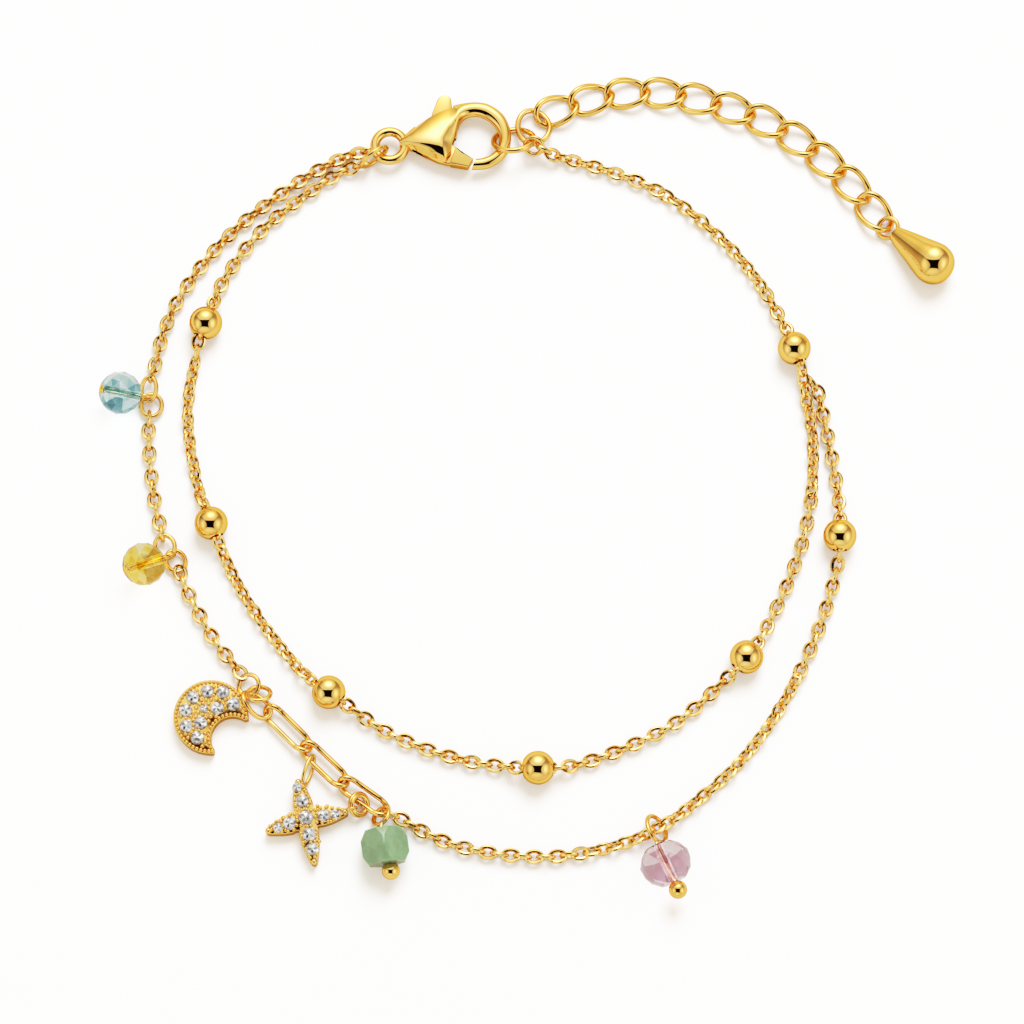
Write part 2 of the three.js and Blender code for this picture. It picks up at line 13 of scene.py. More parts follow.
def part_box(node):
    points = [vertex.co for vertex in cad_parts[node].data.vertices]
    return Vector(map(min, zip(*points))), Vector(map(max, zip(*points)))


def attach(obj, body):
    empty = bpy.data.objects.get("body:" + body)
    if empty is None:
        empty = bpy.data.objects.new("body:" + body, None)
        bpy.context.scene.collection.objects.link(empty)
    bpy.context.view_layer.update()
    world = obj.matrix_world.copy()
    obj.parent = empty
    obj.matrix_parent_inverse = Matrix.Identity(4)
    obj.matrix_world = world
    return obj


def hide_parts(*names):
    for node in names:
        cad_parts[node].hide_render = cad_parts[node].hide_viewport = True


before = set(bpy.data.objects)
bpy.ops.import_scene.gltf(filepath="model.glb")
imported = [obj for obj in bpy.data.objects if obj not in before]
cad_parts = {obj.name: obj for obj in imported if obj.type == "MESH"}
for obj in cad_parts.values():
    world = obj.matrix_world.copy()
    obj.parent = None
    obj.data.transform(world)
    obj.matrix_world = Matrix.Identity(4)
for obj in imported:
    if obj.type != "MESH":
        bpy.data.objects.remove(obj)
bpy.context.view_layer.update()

MM = 0.001
BRACELET = "bracelet"
LEVER = "lever"
# The layout's own zero inside the loop, found from the bead that sits at a known place in it.
bead_low, bead_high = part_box("gold_bead_4")
LAYOUT_ZERO = (Vector(bead_low) + Vector(bead_high)) / 2 / MM - Vector((2.3, -23.65, 1.52))


def in_frame(point):
    """A layout place in millimetres as a place in the row frame, in metres."""
    return (Vector(point) + LAYOUT_ZERO) * MM


# ---- camera

CAMERA_TILT = math.radians(76)
CAMERA_REACH = 384.0
FACING = Vector((0, -math.cos(CAMERA_TILT), math.sin(CAMERA_TILT)))
UPWARD = Vector((0, math.sin(CAMERA_TILT), math.cos(CAMERA_TILT)))


def linked(name, data):
    """A new object that shows the data, in the scene."""
    thing = bpy.data.objects.new(name, data)
    bpy.context.collection.objects.link(thing)
    return thing


def set_camera():
    lens = bpy.data.cameras.new("camera")
    lens.lens = 150
    lens.sensor_width = 36
    lens.clip_start = 0.01
    lens.clip_end = 10
    camera = linked("camera", lens)
    camera.location = in_frame(FACING * CAMERA_REACH)
    camera.rotation_euler = (math.pi / 2 - CAMERA_TILT, 0, 0)
    bpy.context.scene.camera = camera


set_camera()


# ---- shader arithmetic


def both_ways(operation):
    """An operator of Flow and its reflected form, which takes the number first."""

    def plain(self, other):
        return self.math(operation, self, other)

    def reflected(self, other):
        return self.math(operation, other, self)

    return plain, reflected


class Flow:
    """One value in a shader tree. Arithmetic on it adds Math nodes."""

    def __init__(self, tree, socket=None):
        self.tree = tree
        self.socket = socket

    def node(self, kind, settings=None, values=None, out=0):
        """Any other node: its settings first, then numbers or links for its sockets."""
        made = self.tree.nodes.new(kind)
        for name, value in (settings or {}).items():
            if name == "stops":
                ramp = made.color_ramp
                while len(ramp.elements) < len(value):
                    ramp.elements.new(0.5)
                for element, (position, colour) in zip(ramp.elements, value):
                    element.position = position
                    element.color = (*colour, 1)
            else:
                setattr(made, name, value)
        for name, value in (values or {}).items():
            if isinstance(value, Flow):
                self.tree.links.new(value.socket, made.inputs[name])
            else:
                made.inputs[name].default_value = value
        return Flow(self.tree, made.outputs[out]) if made.outputs else None

    def math(self, operation, *terms):
        values = dict(enumerate(terms))
        return self.node("ShaderNodeMath", {"operation": operation}, values)

    __add__, __radd__ = both_ways("ADD")
    __sub__, __rsub__ = both_ways("SUBTRACT")
    __mul__, __rmul__ = both_ways("MULTIPLY")
    __truediv__, __rtruediv__ = both_ways("DIVIDE")

    def __neg__(self):
        return self.math("MULTIPLY", self, -1.0)

    most, _ = both_ways("MAXIMUM")
    least, _ = both_ways("MINIMUM")

    def rise(self, low, high):
        """0 below low, 1 above high, smooth between; low may be the larger."""
        values = {"Value": self, "From Min": low, "From Max": high}
        return self.node("ShaderNodeMapRange", {"interpolation_type": "SMOOTHSTEP"}, values)

    def dot(self, vector):
        values = {0: self, 1: vector}
        return self.node("ShaderNodeVectorMath", {"operation": "DOT_PRODUCT"}, values, "Value")

    def mix(self, factor, one, other):
        """One colour or the other; a colour's sockets on this node are numbers 6 and 7."""
        one, other = [c if isinstance(c, Flow) else (*c, 1) for c in (one, other)]
        values = {0: factor, 6: one, 7: other}
        return self.node("ShaderNodeMix", {"data_type": "RGBA"}, values, 2)


# ---- light tent

# Edges of the dark opening overhead, as they show on a mirror ball one unit across.
OPENING_TOP = 0.145
OPENING_BOTTOM = -0.235
OPENING_LEFT = -0.225
OPENING_RIGHT = 0.175
SEAM = 0.006


def light_tent():
    """Four white panels round a dark opening over the bracelet; only metal and glass see them."""
    world = bpy.data.worlds.new("studio")
    bpy.context.scene.world = world
    world.use_nodes = True
    world.node_tree.nodes.clear()
    world.cycles.sampling_method = "NONE"
    tent = Flow(world.node_tree)
    way = tent.node("ShaderNodeTexCoord", out="Generated")
    # Places on the tent as they show on a mirror ball below the opening.
    lift = ((way.dot(FACING) + 1.0) * 0.5).most(0.0001)
    half = 1.0 / (tent.math("SQRT", lift) * 2.0)
    u = way.dot(Vector((1, 0, 0))) * half
    v = way.dot(UPWARD) * half
    reach = tent.math("SQRT", u * u + v * v)

    def hung(at, size, strength):
        """A soft round patch of brightness on the cloth."""
        du = (u - at[0]) / size[0]
        dv = (v - at[1]) / size[1]
        return tent.math("EXPONENT", -(du * du + dv * dv)) * strength

    waist = (v + 0.12) * (v + 0.12)
    outside = (v - OPENING_TOP).most(OPENING_BOTTOM - 0.0886 * (u + 0.24) - v)
    outside = outside.most(OPENING_LEFT - 1.7 * waist - u)
    outside = outside.most(u - OPENING_RIGHT - 1.1 * waist)
    cloth = outside.rise(-SEAM, 0.03)
    # Which panel a place is on.
    left_seam = v - OPENING_TOP + 1.07 * (u + 0.31)
    right_seam = v - OPENING_TOP - 1.375 * (u - 0.21)
    top = left_seam.least(right_seam)
    low_left = 1.177 * (u + 0.24) - (v + 0.235)
    low_right = -1.014 * (u - 0.155) - (v + 0.27)
    bottom = low_left.least(low_right)
    is_top = top.rise(-SEAM, SEAM)
    is_bottom = bottom.rise(-SEAM, SEAM)
    is_right = u.rise(-0.01, 0.01)
    # The seams are darker, most of all near the opening.
    edge = tent.math("ABSOLUTE", top).least(tent.math("ABSOLUTE", bottom))
    seams = edge.rise(0.0, 0.014) * 0.35 + 0.65
    seams = seams * (1.0 - 0.5 * edge.rise(0.075, 0.0) * reach.rise(0.5, 0.3))
    corners = (u * u).rise(0.03, 0.2) * reach.rise(0.5, 0.72)
    # Each panel's own glow, fading toward its far edge.
    top_light = 1.35 + hung((0.0, 0.50), (0.17, 0.13), 6.5)
    top_light = top_light * (1.0 - 0.6 * corners) * (1.0 - 0.25 * reach.rise(0.6, 0.8))
    left_light = 0.75 + hung((-0.46, -0.08), (0.11, 0.26), 1.3)
    left_light = left_light * (0.32 + 0.68 * v.rise(0.36, 0.04))
    right_light = 0.95 + hung((0.44, -0.06), (0.11, 0.22), 1.9)
    right_light = right_light * (0.45 + 0.55 * v.rise(0.36, 0.08))
    bottom_light = 1.0 + hung((-0.12, -0.42), (0.3, 0.13), 0.7)
    bottom_light = bottom_light * (0.55 + 0.45 * v.rise(-0.76, -0.6))
    side = left_light + (right_light - left_light) * is_right
    lit = side + (top_light - side) * is_top
    lit = lit + (bottom_light - lit) * is_bottom
    lit = lit * seams * cloth + 0.004
    colour = tent.mix(reach.rise(0.45, 0.74), (1.0, 0.99, 0.97), (1.0, 0.82, 0.50))
    # Light bent by glass comes out brighter than light thrown back by metal.
    thrown = tent.node("ShaderNodeLightPath", out="Is Glossy Ray")
    bent = tent.node("ShaderNodeLightPath", out="Is Transmission Ray")
    lit = lit * (1.0 + 0.4 * bent) + 0.3 * bent
    room = {"Color": (1.0, 0.895, 0.74, 1), "Strength": 1.42}
    plain = tent.node("ShaderNodeBackground", None, room)
    panels = tent.node("ShaderNodeBackground", None, {"Color": colour, "Strength": lit})
    both = tent.node("ShaderNodeMixShader", None, {0: thrown.most(bent), 1: plain, 2: panels})
    tent.node("ShaderNodeOutputWorld", None, {"Surface": both})


def key_light():
    """A soft box above and behind the clasp; it draws the shadows and stays out of reflections."""
    lamp = bpy.data.lights.new("key", "AREA")
    lamp.shape = "DISK"
    lamp.size = 0.5
    lamp.energy = 11.8
    lamp.color = (0.80, 0.895, 1.0)
    box = linked("key", lamp)
    box.location = (0.12, 0.45, 0.65)
    box.rotation_euler = box.location.to_track_quat("Z", "Y").to_euler()
    box.visible_glossy = box.visible_transmission = box.visible_camera = False


WHITE_LEVEL = 3.0
TONES = ((0.02, 0.06), (0.117, 0.345), (0.19, 0.535), (0.4, 0.80), (0.63, 0.955), (0.85, 0.997))


def film_shoulder():
    """Bright tones roll off gently to white, so a highlight on gold pales before it clips."""
    view = bpy.context.scene.view_settings
    view.view_transform = "Standard"
    view.use_curve_mapping = True
    view.curve_mapping.white_level = [WHITE_LEVEL] * 3
    for x, y in TONES:
        view.curve_mapping.curves[3].points.new(x, y)
    view.curve_mapping.update()


light_tent()
key_light()
film_shoulder()


# ---- finishes


def new_finish(name):
    finish = bpy.data.materials.new(name)
    finish.use_nodes = True
    finish.node_tree.nodes.clear()
    return finish, Flow(finish.node_tree)


def cloudiness(flow, size_mm, detail=3.0):
    """Soft noise over the piece, with blotches of about that size."""
    place = flow.node("ShaderNodeTexCoord", out="Object")
    values = {"Vector": place, "Scale": 1 / (size_mm * MM), "Detail": detail}
    return flow.node("ShaderNodeTexNoise", None, values, "Fac")


def facet_painted_light(flow, stops, mottle):
    """A colour for each facet from its painted light and shade, shifted a little by the mottling.
    """
    facet = flow.node("ShaderNodeAttribute", {"attribute_name": "facet"}, out="Fac")
    return flow.node("ShaderNodeValToRGB", {"stops": stops}, {"Fac": facet + mottle}, "Color")


def finish_with(flow, values):
    body = flow.node("ShaderNodeBsdfPrincipled", None, values)
    flow.node("ShaderNodeOutputMaterial", None, {"Surface": body})


def polished_gold(name, deep, bright, gloss, grain=0.08):
    """Warm yellow plating: the colour drifts, with faint polishing marks and hazy handling."""
    finish, flow = new_finish(name)
    drift = cloudiness(flow, 2.2)
    haze = cloudiness(flow, 0.6, 5.0)
    relief = {"Strength": grain, "Distance": 0.00001, "Height": cloudiness(flow, 0.09, 4.0)}
    values = {
        "Base Color": flow.mix(drift.rise(0.3, 0.7), deep, bright),
        "Metallic": 1.0,
        "Normal": flow.node("ShaderNodeBump", None, relief),
        "Roughness": haze.rise(0.35, 0.75) * 0.04 + gloss,
        "Specular Tint": (0.80, 0.57, 0.28, 1),
    }
    finish_with(flow, values)
    return finish


def cut_glass(name, deep, mid, pale):
    """Clear coloured glass. Each facet has its own depth of tint, the glass's colour with painted
    light and shade over it, and faint streaks.
    """
    finish, flow = new_finish(name)
    streak = cloudiness(flow, 1.4, 2.0)
    # The palest stop, near white, is a painted glint on the facets that catch the light.
    clear = tuple(0.55 + 0.45 * v for v in pale)
    stops = [(0.1, deep), (0.36, mid), (0.62, pale), (0.92, clear)]
    tint = facet_painted_light(flow, stops, (streak - 0.5) * 0.2)
    values = {"Base Color": tint, "Roughness": 0.01 + 0.01 * streak}
    finish_with(flow, values | {"IOR": 1.4, "Transmission Weight": 1.0})
    return finish


def milky_stone(name):
    """Cloudy pale green stone with light inside it."""
    finish, flow = new_finish(name)
    cloud = cloudiness(flow, 1.6, 4.0)
    vein = cloudiness(flow, 0.45, 5.0)
    colour = flow.mix(cloud.rise(0.3, 0.7), (0.10, 0.172, 0.086), (0.145, 0.232, 0.125))
    colour = flow.mix(vein.rise(0.55, 0.8) * 0.25, colour, (0.28, 0.40, 0.27))
    values = {
        "Base Color": colour,
        "Roughness": 0.09 + 0.05 * vein,
        "IOR": 1.6,
        "Subsurface Weight": 0.3,
        "Subsurface Radius": (0.8, 1.0, 0.8),
        "Subsurface Scale": 0.0009,
    }
    finish_with(flow, values)
    return finish


def sparkling_stone(name):
    """Small white brilliants: every facet has its own grey, painted light and shade for the stones'
    sparkle, under a hard bright polish.
    """
    finish, flow = new_finish(name)
    depth = cloudiness(flow, 0.2, 2.0)
    # From near black to near white: painted shade and painted glints for the facets.
    stops = [(0.0, (0.025, 0.024, 0.025)), (0.35, (0.11, 0.105, 0.105))]
    stops += [(0.65, (0.38, 0.375, 0.37)), (1.0, (0.93, 0.93, 0.92))]
    shade = facet_painted_light(flow, stops, (depth - 0.5) * 0.5)
    values = {"Base Color": shade, "Roughness": 0.04 + 0.03 * depth}
    finish_with(flow, values | {"IOR": 2.1, "Coat Weight": 0.6})
    return finish


def floor_paper(name):
    """Matt white paper. Polished metal sees it a good deal darker than the eye does: the paper in
    its reflections is a painted shade.
    """
    finish, flow = new_finish(name)
    tooth = cloudiness(flow, 30.0, 2.0)
    white = flow.mix(tooth.rise(0.3, 0.7), (0.93, 0.93, 0.93), (0.95, 0.948, 0.944))
    paper = flow.node("ShaderNodeBsdfDiffuse", None, {"Color": white})
    # Painted shade: the darker, warmer paper that reflections see stands in for the table's shade
    # around the pieces.
    reflected = flow.node("ShaderNodeBsdfDiffuse", None, {"Color": (0.58, 0.535, 0.46, 1)})
    glossy = flow.node("ShaderNodeLightPath", out="Is Glossy Ray")
    both = flow.node("ShaderNodeMixShader", None, {0: glossy, 1: paper, 2: reflected})
    flow.node("ShaderNodeOutputMaterial", None, {"Surface": both})
    return finish


GOLD = polished_gold("polished gold", (0.90, 0.48, 0.11), (0.95, 0.55, 0.155), 0.015, 0.05)
# Painted light: the chain and pave golds are paler than the polished gold, to offset the deeper
# orange that light bouncing between close links and grains gives them.
CHAIN_GOLD = polished_gold("drawn chain gold", (0.90, 0.53, 0.16), (0.95, 0.60, 0.21), 0.03, 0.05)
PAVE_GOLD = polished_gold("cast pave gold", (0.90, 0.51, 0.125), (0.95, 0.59, 0.185), 0.09)
PALE_GOLD = polished_gold("pale brushed gold", (0.82, 0.66, 0.40), (0.92, 0.77, 0.50), 0.12)
# From deep to pale, each glass runs from painted shade in its dark facets through its own tint to
# painted light in its bright ones.
AQUA = cut_glass("aqua glass", (0.035, 0.17, 0.22), (0.28, 0.54, 0.61), (0.70, 0.91, 0.94))
LEMON = cut_glass("lemon glass", (0.46, 0.20, 0.004), (0.95, 0.57, 0.02), (1.0, 0.81, 0.20))
ROSE = cut_glass("rose glass", (0.45, 0.20, 0.28), (0.98, 0.72, 0.82), (1.0, 0.88, 0.94))
JADE = milky_stone("milky green stone")
BRILLIANT = sparkling_stone("white brilliants")


def lay_floor(reach=1.5):
    mesh = bpy.data.meshes.new("floor")
    corners = [(-reach, -reach, 0), (reach, -reach, 0), (reach, reach, 0), (-reach, reach, 0)]
    mesh.from_pydata(corners, [], [(0, 1, 2, 3)])
    mesh.materials.append(floor_paper("white table"))
    linked("floor", mesh)


lay_floor()


# ---- forms, in millimetres

CREASE = math.radians(38)
CLEAR = 0.01


class Form:
    """Corners and faces gathered in millimetres, then made into one piece."""

    def __init__(self):
        self.points = []
        self.faces = []
        self.finishes = []
        self.facets = []
        self.flat = []

    def add(self, shape, place=None, finish=0, flat=False, facets=None):
        points, faces = shape
        start = len(self.points)
        self.points += [place @ Vector(p) if place else Vector(p) for p in points]
        self.faces += [tuple(start + i for i in face) for face in faces]
        self.finishes += [finish] * len(faces)
        self.flat += [flat] * len(faces)
        # For cut stones, each face's painted light and shade; 1 where none is painted.
        self.facets += facets or [1.0] * len(faces)
        return self

    def made(self, name, finishes, replaces, body=BRACELET, slot="gold", shades=True):
        """The piece, faced outward and lifted just clear of the table where it would dip in."""
        mesh = bpy.data.meshes.new(name)
        lift = Vector((0, 0, max(0.0, CLEAR - min(p.z for p in self.points))))
        mesh.from_pydata([in_frame(p + lift) for p in self.points], [], self.faces)
        work = bmesh.new()
        work.from_mesh(mesh)
        bmesh.ops.recalc_face_normals(work, faces=work.faces)
        work.to_mesh(mesh)
        work.free()
        for finish in finishes:
            mesh.materials.append(finish)
        mesh.polygons.foreach_set("material_index", self.finishes)
        mesh.polygons.foreach_set("use_smooth", [not f for f in self.flat])
        # The painted light and shade of each facet goes to the finishes as the facet attribute.
        facet = mesh.attributes.new("facet", "FLOAT", "FACE")
        facet.data.foreach_set("value", self.facets)
        mesh.validate()
        mesh.update()
        mesh.set_sharp_from_angle(angle=CREASE)
        piece = linked(name, mesh)
        piece.visible_shadow = shades
        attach(piece, body)
        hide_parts(*replaces)
        return piece


def placed(at=(0, 0, 0), turn=0, pitch=0, roll=0):
    """Roll about X, then pitch about Y, then turn about Z, then move; in degrees."""
    spin = Euler([math.radians(angle) for angle in (roll, pitch, turn)], "XYZ")
    return Matrix.Translation(Vector(at)) @ spin.to_matrix().to_4x4()


def turned_to(direction, at=(0, 0, 0)):
    """Takes X onto a direction."""
    spin = Vector((1, 0, 0)).rotation_difference(Vector(direction)).to_matrix().to_4x4()
    return Matrix.Translation(Vector(at)) @ spin


def spokes(count, shift=0.0):
    """Even directions round a circle."""
    turns = [2 * math.pi * (j + shift) / count for j in range(count)]
    return [(math.cos(a), math.sin(a)) for a in turns]


def skin(rows, sides, closed=False):
    """Faces over rows of corners that follow one another; open ends get a cap."""
    faces = []
    for i in range(rows if closed else rows - 1):
        k = (i + 1) % rows
        for j in range(sides):
            m = (j + 1) % sides
            faces.append((i * sides + j, i * sides + m, k * sides + m, k * sides + j))
    if not closed:
        faces.append(tuple(range(sides))[::-1])
        faces.append(tuple((rows - 1) * sides + j for j in range(sides)))
    return faces


def swept(path, radius, sides=12, closed=False, up=None):
    """A round section along a path."""
    path = [Vector(p) for p in path]
    count = len(path)
    points = []
    side = None
    for i, at in enumerate(path):
        before = path[(i - 1) % count] if closed or i else at
        after = path[(i + 1) % count] if closed or i < count - 1 else at
        way = (after - before).normalized()
        if up is not None:
            side = way.cross(up).normalized()
        elif side is None:
            side = way.orthogonal().normalized()
        else:
            side = (side - way * side.dot(way)).normalized()
        other = way.cross(side)
        points += [at + (side * c + other * s) * radius for c, s in spokes(sides)]
    return points, skin(count, sides, closed)


def ring(long, wide=None, wire=0.3, twist=0.0, straight=0.0, steps=40, sides=12):
    """A closed ring of round wire; the half sizes are the centreline's."""
    wide = long if wide is None else wide
    path = []
    for i in range(steps):
        a = 2 * math.pi * (i + 0.5) / steps
        x = long * math.cos(a) + math.copysign(straight, math.cos(a))
        path.append((x, wide * math.sin(a), twist * math.sin(2 * a)))
        flips = math.cos(a) * math.cos(2 * math.pi * (i + 1.5) / steps) < 0
        if straight and flips:
            for t in (0.2, 0.4, 0.6, 0.8):
                slide = math.copysign(straight, math.cos(a)) * (1 - 2 * t)
                path.append((slide, wide * math.sin(a), 0.0))
    return swept(path, wire / 2, sides, closed=True, up=Vector((0, 0, 1)))


def lathed(profile, sides=48, closed=False):
    """A profile of (radius, height) pairs turned about X."""
    points = [(h, r * c, r * s) for r, h in profile for c, s in spokes(sides)]
    return points, skin(len(profile), sides, closed)


def ball(radius, sides=24, bands=14):
    profile = []
    for i in range(bands + 1):
        a = math.pi * (i + 0.03) / (bands + 0.06) - math.pi / 2
        profile.append((radius * math.cos(a), radius * math.sin(a)))
    return lathed(profile, sides)


# ---- fine cable chains

CHAIN_HEIGHT = 0.62
BEAD_HEIGHT = 1.52
LEAD_IN = 1.7
CABLE_LONG = 0.7
CABLE_WIDE = 0.5
CABLE_WIRE = 0.37
CABLE_PITCH = 1.03
HOOKED_IN = 0.4

# Each bead's place, and the way its hole runs.
BEADS = {
    "gold_bead_1": ((-27.75, 17.3), (-0.38, -1)),
    "gold_bead_2": ((-26.95, -1.4), (0.4, -1)),
    "gold_bead_3": ((-16.25, -16.85), (1, -0.72)),
    "gold_bead_4": ((2.3, -23.65), (1, 0)),
    "gold_bead_5": ((20.85, -13.65), (0.8, 1)),
    "gold_bead_6": ((25.55, 14.9), (-0.36, 1)),
    "gold_bead_7": ((29.35, -2.55), (0.03, 1)),
}


def through(name):
    """Three places that lead a chain through a bead."""
    at, along = BEADS[name]
    run = Vector(along).normalized() * LEAD_IN
    return [(at[0] + s * run.x, at[1] + s * run.y, BEAD_HEIGHT - 0.06 * abs(s)) for s in (-1, 0, 1)]


# The chains' routes. A place without a height lies on the table.
INNER_LEFT = [
    (-13.55, 32.45, 1.3), (-14.1, 32.45, 0.85), (-15.7, 31.9), (-18.65, 29.9), (-21.85, 27.3),
    (-24.15, 24.8), (-26.1, 21.8), (-27.0, 19.9, 0.85),
    *through("gold_bead_1"),
    (-28.65, 14.0, 0.85), (-29.05, 12.2), (-29.3, 9.2), (-29.05, 6.2), (-28.5, 3.2),
    (-28.0, 1.3, 0.8),
    *through("gold_bead_2"),
    (-25.75, -4.3, 0.85), (-24.97, -6.02), (-22.85, -9.6), (-20.5, -12.74), (-18.9, -14.6, 0.8),
    *through("gold_bead_3"),
    (-13.5, -18.75, 0.85), (-11.45, -20.1), (-7.8, -21.75), (-3.95, -22.9), (-0.8, -23.4, 0.85),
    through("gold_bead_4")[0],
    (1.8, -23.65, BEAD_HEIGHT),
]
INNER_RIGHT = [
    (2.8, -23.65, BEAD_HEIGHT),
    through("gold_bead_4")[2],
    (5.3, -23.35, 0.85), (6.9, -22.9), (10.8, -21.4), (14.6, -19.4), (17.55, -16.95),
    (18.95, -15.6, 0.85),
    *through("gold_bead_5"),
    (22.7, -10.9, 0.85), (23.6, -9.1), (24.95, -6.1), (26.3, -2.0), (27.0, 2.1), (27.1, 7.0),
    (26.5, 10.9, 0.85),
    through("gold_bead_6")[0],
    (25.72, 14.4, BEAD_HEIGHT),
]
SHARED = [
    (25.38, 15.4, BEAD_HEIGHT),
    through("gold_bead_6")[2],
    (24.35, 17.9, 0.85), (23.45, 19.75), (21.2, 23.15), (18.25, 26.35), (15.05, 29.05),
    (11.5, 31.05), (7.4, 32.5), (5.3, 33.1, 0.7), (3.2, 33.6, 1.35), (2.67, 33.98, 1.8),
]
OUTER_TOP = [
    (-12.75, 34.15, 0.5), (-13.9, 33.85, 0.58), (-16.0, 33.1), (-18.85, 31.45), (-22.4, 28.9),
    (-25.9, 25.8), (-28.65, 22.45), (-30.85, 18.75), (-32.1, 14.9), (-32.42, 13.2),
    (-32.7, 12.3, 0.95),
]
OUTER_LEFT = [
    (-32.72, 8.85, 0.6), (-32.8, 8.1), (-32.7, 5.3), (-32.4, 2.7), (-31.95, -0.12),
    (-31.52, -1.7), (-31.36, -2.56, 0.85),
]
OUTER_LOW = [
    (-29.8, -5.4, 0.6), (-29.5, -6.4), (-28.83, -7.87), (-27.4, -10.55), (-26.1, -12.6),
    (-24.45, -14.55), (-23.95, -15.25, 0.8),
]
OUTER_RIGHT = [
    (-11.0, -27.5, 0.85), (-9.93, -28.03, 0.8), (-8.13, -29.07), (-5.0, -30.45), (-0.8, -31.25),
    (3.5, -31.45), (7.9, -30.8), (11.3, -29.75, 0.85), (12.62, -29.08, 1.08),
    (14.2, -28.15, 0.85), (16.8, -26.1), (19.8, -23.4), (22.35, -20.3), (24.55, -16.9),
    (26.5, -13.0), (28.15, -8.8), (29.0, -5.7, 0.85),
    *through("gold_bead_7"),
    (29.4, 0.6, 0.85), (29.25, 2.2), (28.55, 6.6), (28.1, 9.0), (27.64, 11.05, 0.9),
    (26.9, 12.02, 1.1),
]


def smooth_route(places):
    """A centripetal curve through given points, finely stepped."""
    places = [Vector(p) for p in places]
    ends = [places[0] * 2 - places[1], *places, places[-1] * 2 - places[-2]]
    route = []
    for i in range(1, len(ends) - 2):
        p0, p1, p2, p3 = ends[i - 1 : i + 3]
        t1 = (p1 - p0).length ** 0.5
        t2 = t1 + (p2 - p1).length ** 0.5
        t3 = t2 + (p3 - p2).length ** 0.5
        for step in range(16):
            t = t1 + (t2 - t1) * step / 16

            def between(one, other, start, end):
                share = (t - start) / (end - start)
                return one * (1 - share) + other * share

            a2 = between(p1, p2, t1, t2)
            b1 = between(between(p0, p1, 0, t1), a2, 0, t2)
            b2 = between(a2, between(p2, p3, t2, t3), t1, t3)
            route.append(between(b1, b2, t1, t2))
    route.append(places[-1])
    return route


def along_route(route, distances):
    """Places on the route at rising distances from its start."""
    found = []
    gone = 0.0
    i = 0
    for distance in distances:
        while i < len(route) - 2 and gone + (route[i + 1] - route[i]).length < distance:
            gone += (route[i + 1] - route[i]).length
            i += 1
        step = route[i + 1] - route[i]
        found.append(route[i] + step * ((distance - gone) / step.length))
    return found


def wobble(seed):
    """A steady irregular number from -1 to 1 for each seed."""
    return math.sin(seed * 12.9898 + 4.1414) * math.cos(seed * 7.233 + 1.7)


def cable_chain(name, places, first_roll=0.0, leans=()):
    """Small oval links along the route, each a quarter turn from the last. Leans are stretches, as
    shares of the length, where the pairs lie at 45 degrees instead."""
    route = smooth_route([p if len(p) > 2 else (*p, CHAIN_HEIGHT) for p in places])
    room = sum((b - a).length for a, b in zip(route, route[1:])) - 2 * HOOKED_IN
    count = round(room / CABLE_PITCH) + 1
    pitch = room / (count - 1)
    centres = along_route(route, [HOOKED_IN + pitch * i for i in range(count)])
    links = Form()
    shape = ring(CABLE_LONG, CABLE_WIDE, CABLE_WIRE, steps=22, sides=9)
    for i, at in enumerate(centres):
        way = (centres[min(i + 1, count - 1)] - centres[max(i - 1, 0)]).normalized()
        lean = sum(45 for low, high in leans if low <= i / (count - 1) <= high)
        roll = first_roll + lean + 90 * (i % 2) + 9 * wobble(i + 0.37 * len(name))
        yaw = math.degrees(math.atan2(way.y, way.x)) + 3 * wobble(i * 1.7 + 5)
        tip = -math.degrees(math.asin(max(-1, min(1, way.z))))
        link = placed(at, yaw, tip, roll)
        under = min((link @ Vector(p)).z for p in shape[0])
        links.add(shape, Matrix.Translation((0, 0, max(0.0, CLEAR - under))) @ link)
    links.made(name + "_links", [CHAIN_GOLD], [name])


cable_chain("inner_chain_left", INNER_LEFT, 90, [(0.32, 0.75)])
cable_chain("inner_chain_right", INNER_RIGHT, 0, [(0.75, 1.0)])
cable_chain("shared_chain", SHARED, 90, [(0.2, 0.6)])
cable_chain("outer_chain_top", OUTER_TOP, 90)
cable_chain("outer_chain_left", OUTER_LEFT, 90)
cable_chain("outer_chain_low", OUTER_LOW, 0)
cable_chain("outer_chain_right", OUTER_RIGHT, 90, [(0.25, 0.6)])


# ---- gold beads

BEAD_RADIUS = 1.5
BEAD_HOLE = 0.63
BEAD_LIP = 0.05


def drilled_bead(steps=34):
    """A bright ball with a drilled hole whose lip is slightly broken."""
    end = math.acos((BEAD_HOLE + BEAD_LIP) / BEAD_RADIUS)
    turns = [end * (2 * i / steps - 1) for i in range(steps + 1)]
    half = BEAD_RADIUS * math.sin(end)
    bore = [(BEAD_HOLE + 0.01, half - 0.02), (BEAD_HOLE, half - 0.09)]
    bore += [(r, -h) for r, h in reversed(bore)]
    round_it = [(BEAD_RADIUS * math.cos(a), BEAD_RADIUS * math.sin(a)) for a in turns]
    return lathed(round_it + bore, 48, closed=True)


for bead, (at, along) in BEADS.items():
    bright_ball = Form().add(drilled_bead(), turned_to((*along, 0), (*at, BEAD_HEIGHT)))
    bright_ball.made(bead + "_polished", [GOLD], [bead])


# ---- rings and links


def ring_piece(name, at, turn, pitch=0, roll=0, wire=0.42, **form):
    loop = Form().add(ring(wire=wire, **form), placed(at, turn, pitch, roll))
    loop.made(name + "_wire", [GOLD], [name])


ring_piece("clasp_strand_ring", (-12.63, 33.1, 1.6), 35.5, 0, 90, 0.44, long=1.385)
ring_piece("clasp_jump_ring", (0.15, 34.74, 1.46), 8, 0, -41, 0.53, long=1.85, steps=56)
ring_piece("chain_end_ring", (2.0, 34.05, 1.86), -15, 1, 36, long=0.80)

